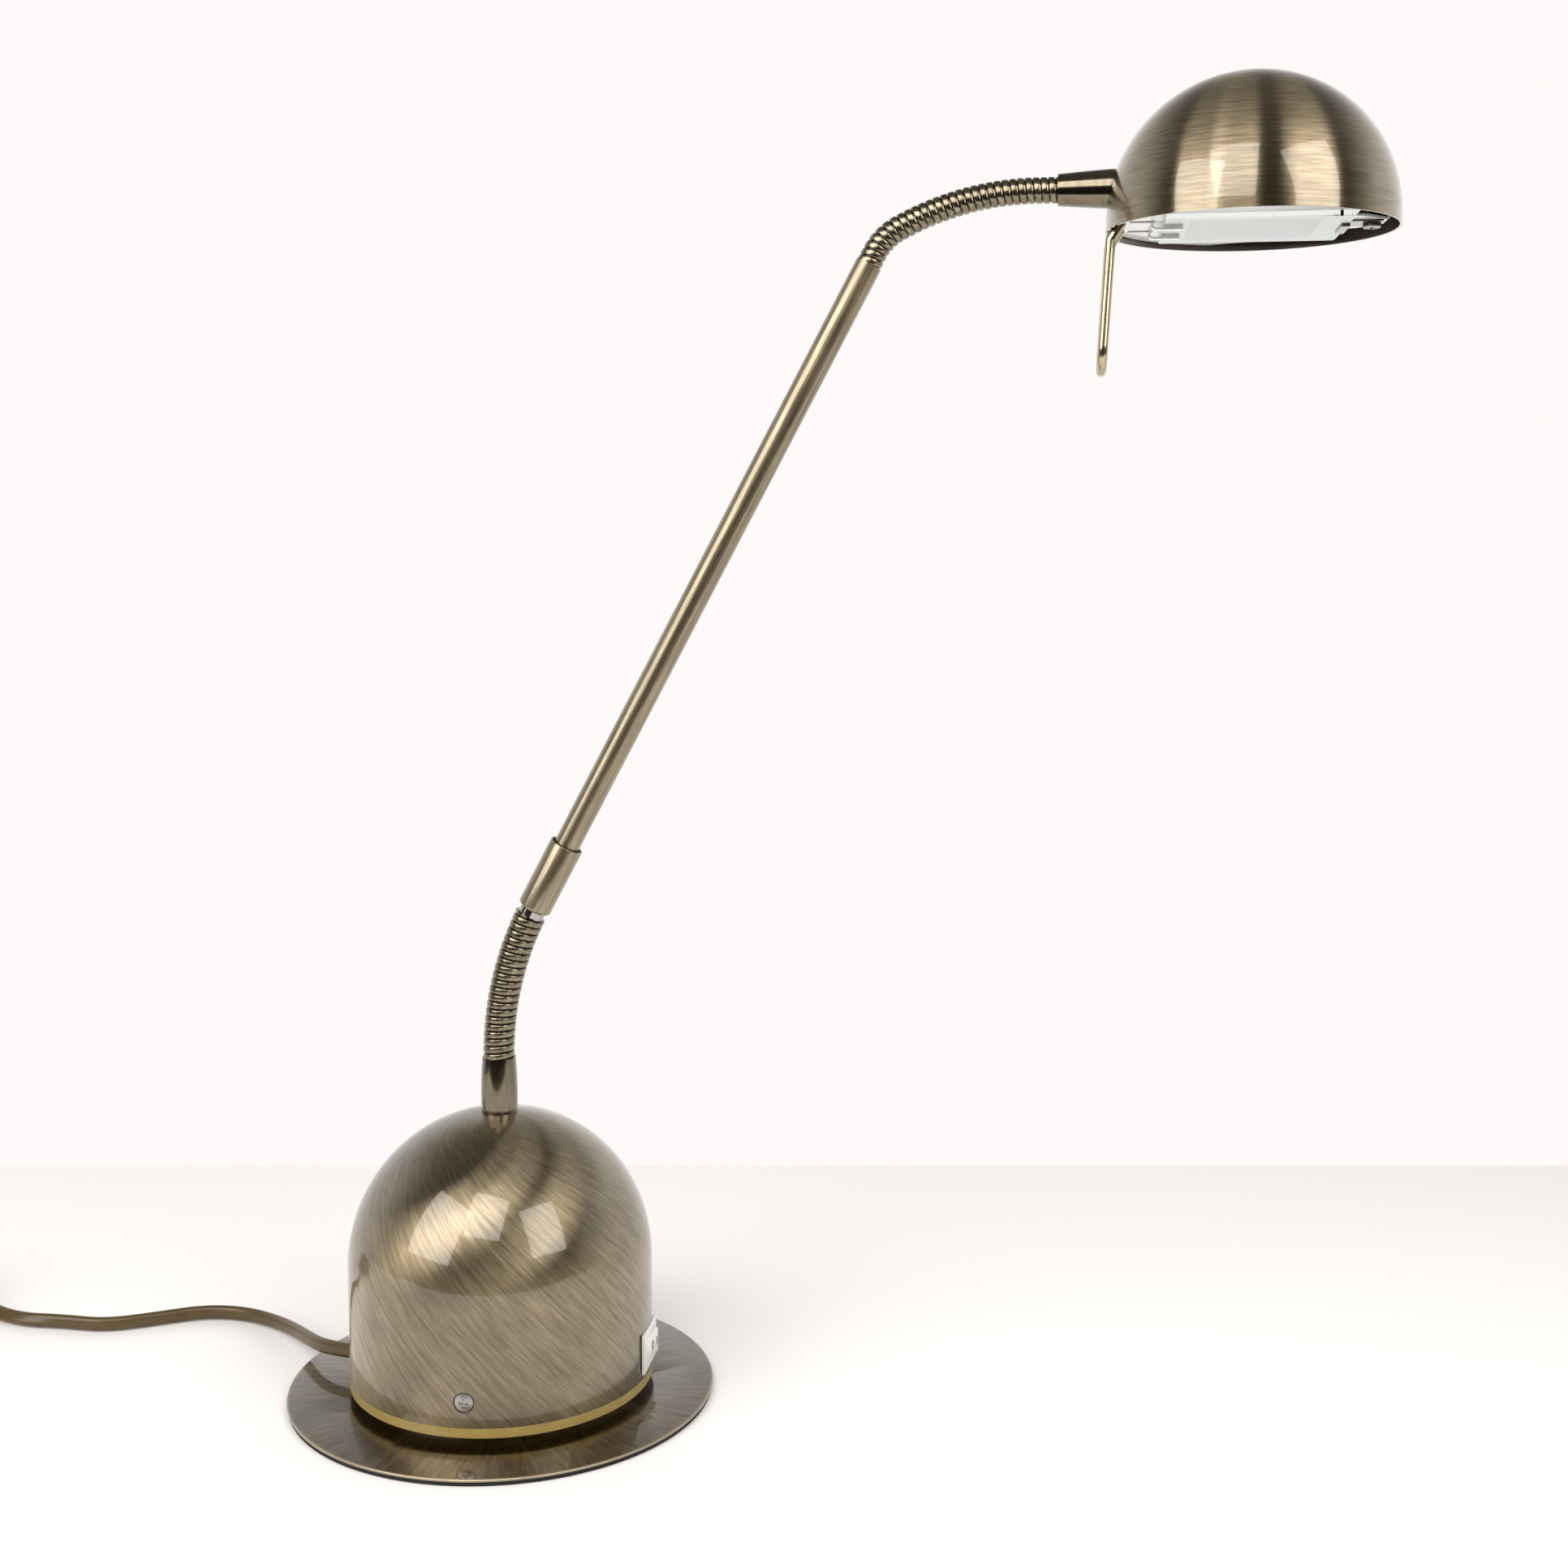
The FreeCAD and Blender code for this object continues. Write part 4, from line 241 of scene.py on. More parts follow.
def lay_brush(graph, shader, streak, where, depth=0.02, tones=BRASS_TONES, marked=0.5):
    """Colour and relief of brushed brass from the streaks' pattern."""
    marks = wear(graph, where)
    colour = graph.ramp(streak, *zip((0.24, 0.47, 0.72), tones))
    cloud = graph.noise(graph.scaled(where, 0.05))
    shade = graph.mix(graph.between(cloud, 0.3, 0.75), (0.88, 0.88, 0.88, 1), (1.08, 1.07, 1.05, 1))
    tinted = graph.node("Mix", data_type="RGBA", blend_type="MULTIPLY")
    graph.join(1.0, tinted.inputs[0])
    graph.join(colour, tinted.inputs[6])
    graph.join(shade, tinted.inputs[7])
    graph.join(graph.mix(graph.math("MULTIPLY", marks, marked), tinted.outputs[2], (0.05, 0.04, 0.03, 1)),
               shader.inputs["Base Color"])
    if depth:
        bump = graph.node("Bump", {"Height": streak, "Strength": 0.25, "Distance": depth * MM})
        graph.join(bump.outputs[0], shader.inputs["Normal"])


def grain(graph, along, across, third, length, width):
    """Streaks of a given length and width, in millimetres, fine over coarse."""
    fine = graph.noise(graph.vector(graph.math("DIVIDE", along, length),
                                    graph.math("DIVIDE", across, width), third), 3.0, 0.6)
    coarse = graph.noise(graph.vector(graph.math("DIVIDE", along, length * 2.3),
                                      graph.math("DIVIDE", across, width * 4.5), third), 2.0, 0.5)
    return graph.blend(0.42, fine, coarse)


def turned_streaks(graph, where, radius, lean, length, width):
    """Streaks round a vertical axis, leaning down by an angle; two seams on opposite sides fade out."""
    parts = graph.node("SeparateXYZ", {"Vector": where})
    x, y, z = (parts.outputs[k] for k in "XYZ")
    flat = graph.math("SQRT", graph.math("MULTIPLY_ADD", x, x, graph.math("MULTIPLY", y, y)))
    high = graph.math("MAXIMUM", z, 0.0)
    low = graph.math("MINIMUM", z, 0.0)
    sine = graph.math("DIVIDE", high, graph.math("SQRT", graph.math(
        "MULTIPLY_ADD", high, high, graph.math("MULTIPLY", flat, flat))))
    gap = graph.math("MAXIMUM", graph.math("SUBTRACT", 1.0, sine), 1e-4)
    ratio = graph.math("DIVIDE", graph.math("ADD", 1.0, sine), gap)
    latitude = graph.math("MULTIPLY", graph.math("LOGARITHM", ratio, math.e), 0.5 * radius)
    rise = graph.math("ADD", latitude, low)
    front = graph.math("ARCTAN2", x, graph.math("MULTIPLY", y, -1.0))
    back = graph.math("ARCTAN2", graph.math("MULTIPLY", x, -1.0), y)
    looks = []
    for turn, shift in ((front, 0.0), (back, 40.0)):
        round_ = graph.math("MULTIPLY", turn, radius)
        along = graph.math("ADD", graph.math("MULTIPLY", round_, math.cos(lean)),
                           graph.math("MULTIPLY", rise, -math.sin(lean)))
        across = graph.math("ADD", graph.math("MULTIPLY", round_, math.sin(lean)),
                            graph.math("MULTIPLY", rise, math.cos(lean)))
        looks.append(grain(graph, along, across, shift, length, width))
    return graph.blend(graph.between(graph.math("DIVIDE", y, radius), 0.05, 0.45), *looks), flat, z


def dome_brass():
    material, graph, shader = finish_named(
        "brushed_dome_brass", metallic=1.0, roughness=0.31, anisotropic=1.0, anisotropic_rotation=0.11,
        coat_weight=1.0, coat_roughness=0.03, coat_ior=1.5)
    where = place_of(graph, DOME_CENTRE)
    streak, _, _ = turned_streaks(graph, where, DOME_R, math.radians(DOME_STROKE_LEAN), 11.0, 0.36)
    lay_brush(graph, shader, streak, where)
    tangent = graph.node("Tangent", direction_type="RADIAL", axis="Z")
    graph.join(tangent.outputs[0], shader.inputs["Tangent"])
    return material


def shade_brass():
    material, graph, shader = finish_named(
        "brushed_shade_brass", metallic=1.0, roughness=0.29, anisotropic=1.0, anisotropic_rotation=0.25,
        coat_weight=1.0, coat_roughness=0.03, coat_ior=1.5)
    where = place_of(graph, SHADE_CENTRE)
    streak, flat, z = turned_streaks(graph, where, SHADE_R, 0.0, 9.0, 0.24)
    lay_brush(graph, shader, streak, where)
    high = graph.math("MAXIMUM", z, 0.0)
    reach = graph.math("SQRT", graph.math("MULTIPLY_ADD", high, high, graph.math("MULTIPLY", flat, flat)))
    inside = graph.math("LESS_THAN", reach, SHADE_INSIDE_R)
    outer = shader.inputs["Base Color"].links[0].from_socket
    graph.join(graph.mix(inside, outer, (0.09, 0.066, 0.058, 1)), shader.inputs["Base Color"])
    tangent = graph.node("Tangent", direction_type="RADIAL", axis="Z")
    graph.join(tangent.outputs[0], shader.inputs["Tangent"])
    return material


def plate_brass():
    """Strokes run from the middle outwards; a painted highlight lightens the outer rim."""
    material, graph, shader = finish_named(
        "brushed_plate_brass", metallic=1.0, roughness=0.34, anisotropic=0.95, anisotropic_rotation=0.0,
        coat_weight=1.0, coat_roughness=0.03, coat_ior=1.5)
    where = place_of(graph, (0, 0, 0))
    parts = graph.node("SeparateXYZ", {"Vector": where})
    x, y = parts.outputs["X"], parts.outputs["Y"]
    flat = graph.math("SQRT", graph.math("MULTIPLY_ADD", x, x, graph.math("MULTIPLY", y, y)))
    front = graph.math("ARCTAN2", x, graph.math("MULTIPLY", y, -1.0))
    back = graph.math("ARCTAN2", graph.math("MULTIPLY", x, -1.0), y)
    looks = [grain(graph, flat, graph.math("MULTIPLY", turn, 70.0), shift, 8.0, 0.5)
             for turn, shift in ((front, 0.0), (back, 30.0))]
    streak = graph.blend(graph.between(graph.math("DIVIDE", y, 80.0), 0.05, 0.45), *looks)
    # Painted highlight: the colour is made lighter on the outermost band of the plate, over its streaks.
    streak_and_rim_highlight = graph.math("MULTIPLY_ADD", graph.between(flat, PLATE_HIGHLIGHT_R, PLATE_R), 0.3, streak)
    lay_brush(graph, shader, streak_and_rim_highlight, where, tones=PLATE_TONES)
    tangent = graph.node("Tangent", direction_type="RADIAL", axis="Z")
    graph.join(tangent.outputs[0], shader.inputs["Tangent"])
    return material


def drawn_brass(name, middle, lean, roughness, length, width, *tones, lacquer=0.03):
    """Brass brushed along a straight axis that leans from the vertical towards +X by some degrees."""
    material, graph, shader = finish_named(
        name, metallic=1.0, roughness=roughness, coat_weight=1.0, coat_roughness=lacquer, coat_ior=1.5)
    where = place_of(graph, middle)
    tilt = math.radians(lean)
    along = graph.along(where, (math.sin(tilt), 0, math.cos(tilt)))
    across = graph.along(where, (math.cos(tilt), 0, -math.sin(tilt)))
    depth = graph.node("SeparateXYZ", {"Vector": where}).outputs["Y"]
    spread = graph.vector(graph.math("DIVIDE", across, width), graph.math("DIVIDE", depth, width),
                          graph.math("DIVIDE", along, length))
    streak = graph.noise(spread, 2.0, 0.5)
    lay_brush(graph, shader, streak, where, 0.0, tones, 0.0)
    return material


def neck_brass():
    """Wound strip: rubbed bright on its bands, with painted shade making its grooves nearly black."""
    material, graph, shader = finish_named(
        "wound_strip_brass", metallic=1.0, roughness=0.25, coat_weight=0.5, coat_roughness=0.06)
    where = place_of(graph, (0, 0, 0))
    crown = graph.node("Attribute", attribute_name="crown").outputs["Fac"]
    fine = graph.noise(graph.scaled(where, 1.6), 3.0)
    coarse = graph.noise(graph.scaled(where, 0.35), 2.0)
    rub = graph.blend(0.5, fine, coarse)
    band = graph.ramp(rub, (0.3, (0.1, 0.082, 0.052)), (0.5, (0.22, 0.183, 0.118)), (0.7, (0.42, 0.36, 0.25)))
    # Painted shade: the colour goes nearly black where the crown share is low, down in the grooves.
    graph.join(graph.mix(graph.between(crown, 0.35, 0.85), (0.018, 0.014, 0.01, 1), band),
               shader.inputs["Base Color"])
    bump = graph.node("Bump", {"Height": fine, "Strength": 0.1, "Distance": 0.03 * MM})
    graph.join(bump.outputs[0], shader.inputs["Normal"])
    return material


def moulded(name, colour, roughness, scale=1.4, depth=0.02, swing=0.06, **values):
    """Moulded or painted surface: slight change of shade and a fine texture."""
    material, graph, shader = finish_named(name, roughness=roughness, **values)
    where = place_of(graph, (0, 0, 0))
    soft = graph.noise(graph.scaled(where, scale * 0.1))
    fine = graph.noise(graph.scaled(where, scale * 3), 3.0)
    low = tuple(c * (1 - swing) for c in colour)
    high = tuple(min(1.0, c * (1 + swing)) for c in colour)
    graph.join(graph.ramp(soft, (0.3, low), (0.7, high)), shader.inputs["Base Color"])
    bump = graph.node("Bump", {"Height": fine, "Strength": 0.2, "Distance": depth * MM})
    graph.join(bump.outputs[0], shader.inputs["Normal"])
    return material


# Mesh work


def add_object(name, bm, materials, smooth=40):
    """Finished mesh as an object at the origin, smooth up to an angle between its faces."""
    mesh = bpy.data.meshes.new(name)
    bm.normal_update()
    bm.to_mesh(mesh)
    bm.free()
    for material in materials if isinstance(materials, (list, tuple)) else [materials]:
        mesh.materials.append(material)
    mesh.shade_smooth()
    mesh.set_sharp_from_angle(angle=math.radians(smooth))
    made = bpy.data.objects.new(name, mesh)
    SCENE.collection.objects.link(made)
    return made


def outward(bm, distance=MERGE):
    bmesh.ops.remove_doubles(bm, verts=bm.verts, dist=distance)
    bmesh.ops.recalc_face_normals(bm, faces=bm.faces)


def soften(bm, width, angle=30, segments=2):
    """Rounds the edges where faces meet at more than an angle."""
    sharp = [e for e in bm.edges if len(e.link_faces) == 2 and e.calc_face_angle(0) > math.radians(angle)]
    bmesh.ops.bevel(bm, geom=sharp, offset=width * MM, offset_type="OFFSET", affect="EDGES",
                    segments=segments, profile=0.5, material=-1, clamp_overlap=True)


def finished(node, material, width):
    """Merged copy of a rigid node with soft edges, in the node's place."""
    bm = bmesh.new()
    bm.from_mesh(NODES[node].data)
    bmesh.ops.remove_doubles(bm, verts=bm.verts, dist=MERGE)
    bmesh.ops.dissolve_limit(bm, angle_limit=math.radians(1.5), verts=bm.verts, edges=bm.edges)
    soften(bm, width)
    made = add_object(node + "_finished", bm, material)
    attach(made, BODY_OF[node])
    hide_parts(node)


def chain(bm, points):
    """Edges through a row of points."""
    verts = [bm.verts.new(p) for p in points]
    return verts, [bm.edges.new(pair) for pair in zip(verts, verts[1:])]


# Cord


CORD_W = 5.6
CORD_T = 3.6
CORD_ROUTE = [
    (-57.19, -6.00, 12.65), (-66.09, -2.76, 11.94), (-75.19, 3.20, 10.60), (-83.99, 13.30, 8.65),
    (-94.49, 26.00, 5.92), (-106.99, 38.20, 3.49), (-123.49, 46.20, 2.90), (-141.49, 46.00, 2.90),
    (-158.49, 35.80, 2.90), (-175.99, 26.40, 2.90), (-195.49, 28.00, 2.90), (-212.49, 27.20, 2.90),
    (-228.99, 33.50, 2.90), (-246.19, 45.80, 3.00), (-258.50, 50.10, 3.40), (-269.40, 51.80, 3.95),
    (-277.40, 51.80, 3.95),
]
CORD_TAIL = [(-288.6, 51.8, 22.25), (-298.6, 52.8, 22.05), (-312.6, 53.8, 19.5), (-327.6, 54.0, 13.0),
             (-343.6, 54.0, 8.0), (-356.6, 54.0, 6.9), (-367.6, 54.0, 6.9)]
COIL_X, COIL_Y, COIL_FLOOR = -283.0, 16.0, 3.95
COIL_OUTER, COIL_INNER = 35.8, 23.6
COIL_LAYERS, COIL_TURNS, COIL_STEP = 4, 2.0, 6.1
TURN_POINTS = 16
SWING_AT, SWING_REACH = 186, 26


def eased(t):
    t = min(1.0, max(0.0, t))
    return t * t * (3 - 2 * t)


def coil_point(turns):
    """Point of the coil after a number of turns: layers wound inwards and outwards by turns."""
    layer = min(int(turns / COIL_TURNS), COIL_LAYERS - 1)
    along = turns / COIL_TURNS - layer
    reach = along if layer % 2 == 0 else 1 - along
    radius = COIL_OUTER + (COIL_INNER - COIL_OUTER) * reach
    climb = sum(eased((turns - k * COIL_TURNS) / 0.5 + 0.5) for k in range(1, COIL_LAYERS))
    angle = math.radians(90) + 2 * math.pi * turns
    return (COIL_X + radius * math.cos(angle), COIL_Y + radius * math.sin(angle),
            COIL_FLOOR + COIL_STEP * climb)


def cord_line():
    """One smooth line through the lead, the tied coil and the plug's tail."""
    turns = COIL_LAYERS * COIL_TURNS
    count = int(turns * TURN_POINTS)
    points = CORD_ROUTE + [coil_point(n / TURN_POINTS) for n in range(1, count)] + CORD_TAIL
    data = bpy.data.curves.new("cord_line", "CURVE")
    data.dimensions = "3D"
    spline = data.splines.new("NURBS")
    spline.points.add(len(points) - 1)
    for point, (x, y, z) in zip(spline.points, points):
        point.co = (x * MM, y * MM, z * MM, 1)
    spline.order_u = 3
    spline.use_endpoint_u = True
    spline.resolution_u = 6
    line = bpy.data.objects.new("cord_line", data)
    path = [v.co.copy() for v in bpy.data.meshes.new_from_object(line).vertices]
    bpy.data.objects.remove(line)
    return path


def flat_cord(path, lay):
    """Flat twin cord swept along a path; lay(mm) gives its roll, 0 flat on the table and 1 on edge."""
    bm = bmesh.new()
    outline = []
    lobe = (CORD_W - CORD_T) / 2
    for side in (1, -1):
        for n in range(9):
            turn = math.radians(-100 + 25 * n) if side == 1 else math.radians(80 + 25 * n)
            outline.append(Vector((lobe * side + CORD_T / 2 * math.cos(turn),
                                   CORD_T / 2 * math.sin(turn), 0)))
    rings = []
    run = 0.0
    for n, here in enumerate(path):
        run += (here - path[n - 1]).length / MM if n else 0.0
        ahead = (path[min(n + 1, len(path) - 1)] - path[max(n - 1, 0)]).normalized()
        side = ahead.cross(Vector((0, 0, 1))).normalized()
        up = side.cross(ahead).normalized()
        roll = math.radians(90 * lay(run))
        wide = side * math.cos(roll) + up * math.sin(roll)
        thick = up * math.cos(roll) - side * math.sin(roll)
        rings.append([bm.verts.new(here + (wide * p.x + thick * p.y) * MM) for p in outline])
    for a, b in zip(rings, rings[1:]):
        for k in range(len(a)):
            bm.faces.new((a[k - 1], a[k], b[k], b[k - 1]))
    bm.faces.new(rings[0])
    bm.faces.new(rings[-1])
    outward(bm)
    return bm


# Goosenecks


LOWER_NECK = dict(start=(0, 129.0), heading=0.0, stretches=((56.6, 122.0), (3.0, 122.0)), length=56.6,
                  bands=20, band_r=5.93, groove_r=5.1)
UPPER_NECK = dict(start=(139.77, 422.28), heading=ARM_HEADING,
                  stretches=((4.0, None), (12.462, 21.0), (50.335, 103.0), (7.6, None)), length=74.397,
                  bands=28, band_r=4.58, groove_r=3.95)
LOWER_BODIES = ("base", "lower_link_1", "lower_link_2", "lower_link_3", "arm")
UPPER_BODIES = ("arm", "upper_link_1", "upper_link_2", "upper_link_3", "shade")


def on_axis(neck, s):
    """Point and heading of a neck's axis after s millimetres."""
    x, z = neck["start"]
    heading = math.radians(neck["heading"])
    last = len(neck["stretches"]) - 1
    for n, (length, radius) in enumerate(neck["stretches"]):
        step = s if n == last else min(s, length)
        if n == 0 and s < 0:
            step = s
        if radius is None:
            x += step * math.sin(heading)
            z += step * math.cos(heading)
        else:
            turned = heading + step / radius
            x += radius * (math.cos(heading) - math.cos(turned))
            z += radius * (math.sin(turned) - math.sin(heading))
            heading = turned
        s -= step
        if s <= 0:
            break
    return x, z, heading


def wound_strip(neck):
    """Strip wound on the spot with one groove a turn, straight along the vertical axis."""
    pitch = neck["length"] / neck["bands"]
    deep, high = neck["groove_r"], neck["band_r"]
    shoulder = deep + 0.68 * (high - deep)
    profile = [(deep, 0.0), (deep, 0.14), (shoulder, 0.17), (high - 0.07, 0.24), (high, 0.38), (high, 0.74),
               (high - 0.07, 0.9), (shoulder, 0.98), (deep, 1.0)]
    steps = 44
    bm = bmesh.new()
    verts, edges = chain(bm, [(r * MM, 0, (t - 1) * pitch * MM) for r, t in profile])
    turns = neck["bands"] + 2
    bmesh.ops.spin(bm, geom=verts + edges, cent=(0, 0, 0), axis=(0, 0, 1), dvec=(0, 0, pitch / steps * MM),
                   angle=2 * math.pi * turns, steps=steps * turns, use_merge=False)
    outward(bm, 0.01 * MM)
    return bm


def neck_pieces(neck, name, bodies, material):
    whole = wound_strip(neck)
    each = neck["length"] / (len(bodies) - 1)
    for k in range(len(bodies) - 1):
        low, high = each * k, each * (k + 1)
        bm = whole.copy()
        for cut, keep_above in ((low, True), (high, False)):
            bmesh.ops.bisect_plane(bm, geom=bm.verts[:] + bm.edges[:] + bm.faces[:], dist=1e-7,
                                   plane_co=(0, 0, cut * MM), plane_no=(0, 0, 1),
                                   clear_inner=keep_above, clear_outer=not keep_above)
            rim = [e for e in bm.edges if e.is_boundary and
                   all(abs(v.co.z - cut * MM) < 1e-6 for v in e.verts)]
            bmesh.ops.contextual_create(bm, geom=rim)
        bmesh.ops.recalc_face_normals(bm, faces=bm.faces)
        span = neck["band_r"] - neck["groove_r"]
        crowns = [(v.co.xy.length / MM - neck["groove_r"]) / span for v in bm.verts]
        for v in bm.verts:
            x, z, heading = on_axis(neck, v.co.z / MM)
            across = v.co.x / MM
            bent = (x + across * math.cos(heading), v.co.y / MM, z - across * math.sin(heading))
            v.co = Vector(bent) * MM
        piece = add_object("%s_%d_strip" % (name, k + 1), bm, material, 50)
        crown = piece.data.attributes.new("crown", "FLOAT", "POINT")
        crown.data.foreach_set("value", crowns)
        for s in (low, high):
            x, z, _ = on_axis(neck, s)
        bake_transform(piece)
        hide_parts("%s_%d" % (name, k + 1))
    whole.free()


# Small marks, and rings of painted shadow round the screws


def turn_about(bm, angle, axis):
    """Turns a mesh about an axis through the origin."""
    bmesh.ops.rotate(bm, cent=(0, 0, 0), matrix=Matrix.Rotation(math.radians(angle), 3, axis), verts=bm.verts)


def flat_ring(radius, line, segments, width=1.0):
    """Flat ring about the origin, one line thick, its breadth along Y scaled by a share."""
    bm = bmesh.new()
    bmesh.ops.create_circle(bm, cap_ends=True, segments=segments, radius=radius * MM)
    bmesh.ops.scale(bm, vec=(1, width, 1), verts=bm.verts)
    bmesh.ops.inset_region(bm, faces=bm.faces[:], thickness=line * MM, use_boundary=True,
                           use_even_offset=True)
    middle = max(bm.faces, key=lambda f: len(f.verts))
    bmesh.ops.delete(bm, geom=[middle], context="FACES")
    return bm


def bar_mark():
    bm = bmesh.new()
    bmesh.ops.create_cube(bm, size=MM)
    bmesh.ops.scale(bm, vec=(MARK_T, BAR_W, MARK_H), verts=bm.verts)
    return bm


def ring_mark():
    bm = flat_ring(MARK_H / 2, RING_LINE, 40, RING_WIDTH)
    raised = bmesh.ops.extrude_face_region(bm, geom=bm.faces[:])
    top = [v for v in raised["geom"] if isinstance(v, bmesh.types.BMVert)]
    bmesh.ops.translate(bm, vec=(0, 0, MARK_T * MM), verts=top)
    bmesh.ops.translate(bm, vec=(0, 0, -MARK_T / 2 * MM), verts=bm.verts)
    outward(bm)
    turn_about(bm, 90, "Y")
    return bm


def put_mark(name, bm, along, material):
    """Mark laid on the tilted front of the rocker, some way along it."""
    proud = MARK_PROUD + abs(along) * ROCKER_DISH
    bmesh.ops.translate(bm, vec=(proud * MM, along * MM, 0), verts=bm.verts)
    turn_about(bm, -ROCKER_TILT, "Z")
    bmesh.ops.translate(bm, vec=ROCKER_PIVOT * MM, verts=bm.verts)
    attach(add_object(name, bm, material), "rocker")


def screw_shadow_ring():
    """Ring of painted shadow: a dark ring standing for the shade in the sunk hole round the front dome screw.
    """
    bm = flat_ring(SHADOW_RING_R, SHADOW_RING_R - DOME_SCREW_HEAD_R, 48)
    bmesh.ops.solidify(bm, geom=bm.faces[:], thickness=SHADOW_RING_T * MM)
    outward(bm)
    turn_about(bm, 90, "X")
    bmesh.ops.translate(bm, vec=(0, -DOME_R * MM, DOME_SCREW_Z * MM), verts=bm.verts)
    turn_about(bm, DOME_SCREW_TURN, "Z")
    return bm


# The lamp


NODES = frame["nodes"]
BODY_OF = {node: body for body, nodes in frame["record"]["behaviour"]["bodies"].items() for node in nodes}


def dress(material, *nodes):
    for node in nodes:
        for slot in NODES[node].material_slots:
            slot.material = material


SCENE.view_settings.view_transform = "Standard"
place_camera()
studio()
softbox("left_box", (-0.745, -0.89, 0.826), 0.88, 1.05, 4.4, (1.0, 0.98, 0.95))
softbox("middle_box", (0.02, -0.68, 0.826), 0.48, 0.58, 4.4, (1.0, 0.98, 0.95))
softbox("right_box", (0.85, -0.61, 0.76), 0.6, 0.78, 4.4, (1.0, 0.98, 0.95))

TABLE_CORNERS = [(-0.62, -0.49), (1.3, -0.49), (1.3, 0.45), (-0.62, 0.18)]
TABLE_Z = -0.0002
table_bm = bmesh.new()
table_bm.faces.new([table_bm.verts.new((x, y, TABLE_Z)) for x, y in TABLE_CORNERS])
table_top, table_graph, table_shader = finish_named("matt_table_top", roughness=0.75,
                                                    specular_ior_level=0.25)
grit = table_graph.noise(place_of(table_graph, (0, 0, 0)), 2.0)
table_graph.join(table_graph.ramp(grit, (0.3, (0.86, 0.848, 0.84)), (0.7, (0.885, 0.873, 0.866))),
                 table_shader.inputs["Base Color"])
table = add_object("table", table_bm, table_top)

DOME_BRASS = dome_brass()
SHADE_BRASS = shade_brass()
PLATE_BRASS = plate_brass()
ARM_BRASS = drawn_brass("brushed_arm_brass", ARM_FOOT, ARM_HEADING, 0.36, 22.0, 0.6,
                        (0.17, 0.135, 0.085), (0.27, 0.218, 0.14), (0.38, 0.315, 0.205), lacquer=0.12)
POLISHED_BRASS = drawn_brass("polished_brass", (0, 0, 0), 0, 0.16, 6.0, 2.0,
                             (0.12, 0.095, 0.058), (0.155, 0.124, 0.078), (0.19, 0.155, 0.1))
WIRE_BRASS = drawn_brass("polished_wire_brass", (0, 0, 0), 0, 0.22, 12.0, 2.0,
                         (0.4, 0.33, 0.2), (0.47, 0.385, 0.24), (0.53, 0.44, 0.29), lacquer=0.1)
COLLAR_NICKEL = drawn_brass("turned_nickel", (0, 0, 0), 0, 0.12, 0.4, 3.0,
                            (0.3, 0.29, 0.27), (0.38, 0.37, 0.35), (0.46, 0.45, 0.43))
CLIP_BRONZE = drawn_brass("clip_bronze", (0, 0, 0), 0, 0.3, 4.0, 0.6,
                          (0.05, 0.036, 0.02), (0.09, 0.066, 0.038), (0.15, 0.11, 0.065))
NECK_BRASS = neck_brass()
LIP_PAINT = moulded("tray_gold_satin", (0.34, 0.245, 0.075), 0.36, coat_weight=0.4, coat_roughness=0.2)
PAD_FOAM = moulded("black_pad_foam", (0.012, 0.012, 0.012), 0.9, 3.0, 0.1, 0.25)
SWITCH_WHITE = moulded("switch_white", (0.72, 0.72, 0.7), 0.3)
SCREW_STEEL = moulded("screw_steel", (0.42, 0.415, 0.4), 0.3, metallic=1.0)
DARK_STEEL = moulded("zinc_steel", (0.4, 0.4, 0.4), 0.45, metallic=1.0)
CORD_PVC = moulded("brown_cord_sheath", (0.085, 0.055, 0.018), 0.32)
PLUG_PVC = moulded("brown_plug", (0.07, 0.045, 0.016), 0.4)
TIE_NYLON = moulded("black_cord_tie", (0.02, 0.02, 0.02), 0.5)
PAN_ENAMEL = moulded("white_reflector_enamel", (0.82, 0.82, 0.8), 0.22, coat_weight=0.5, coat_roughness=0.08)
PIN_BRASS = drawn_brass("plug_pin_brass", (0, 0, 0), 0, 0.25, 3.0, 0.5,
                        (0.5, 0.4, 0.2), (0.62, 0.5, 0.27), (0.72, 0.6, 0.36))
CERAMIC = moulded("holder_ceramic", (0.78, 0.76, 0.7), 0.6)
COPPER = moulded("winding_copper", (0.5, 0.2, 0.08), 0.35, metallic=1.0)
NYLON = moulded("bobbin_nylon", (0.6, 0.58, 0.5), 0.5)
CORE_STEEL = moulded("core_laminations", (0.12, 0.12, 0.125), 0.5, metallic=1.0)
LEAD_PVC = moulded("white_lead_sheath", (0.7, 0.69, 0.66), 0.4)
BLOCK_PLASTIC = moulded("terminal_block_plastic", (0.75, 0.74, 0.7), 0.5)

QUARTZ, quartz_graph, quartz_shader = finish_named("capsule_quartz", roughness=0.03, transmission_weight=1.0,
                                                   ior=1.46)
quartz_haze = quartz_graph.noise(place_of(quartz_graph, (0, 0, 0)))
quartz_graph.join(quartz_graph.ramp(quartz_haze, (0.3, (0.96, 0.97, 0.97)), (0.7, (1.0, 1.0, 1.0))),
                  quartz_shader.inputs["Base Color"])
GLASS, glass_graph, glass_shader = finish_named("safety_glass", roughness=0.02, transmission_weight=1.0,
                                                ior=1.5)
glass_haze = glass_graph.noise(place_of(glass_graph, (0, 0, 0)))
glass_graph.join(glass_graph.ramp(glass_haze, (0.3, (0.9, 0.97, 0.94)), (0.7, (0.95, 0.99, 0.97))),
                 glass_shader.inputs["Base Color"])

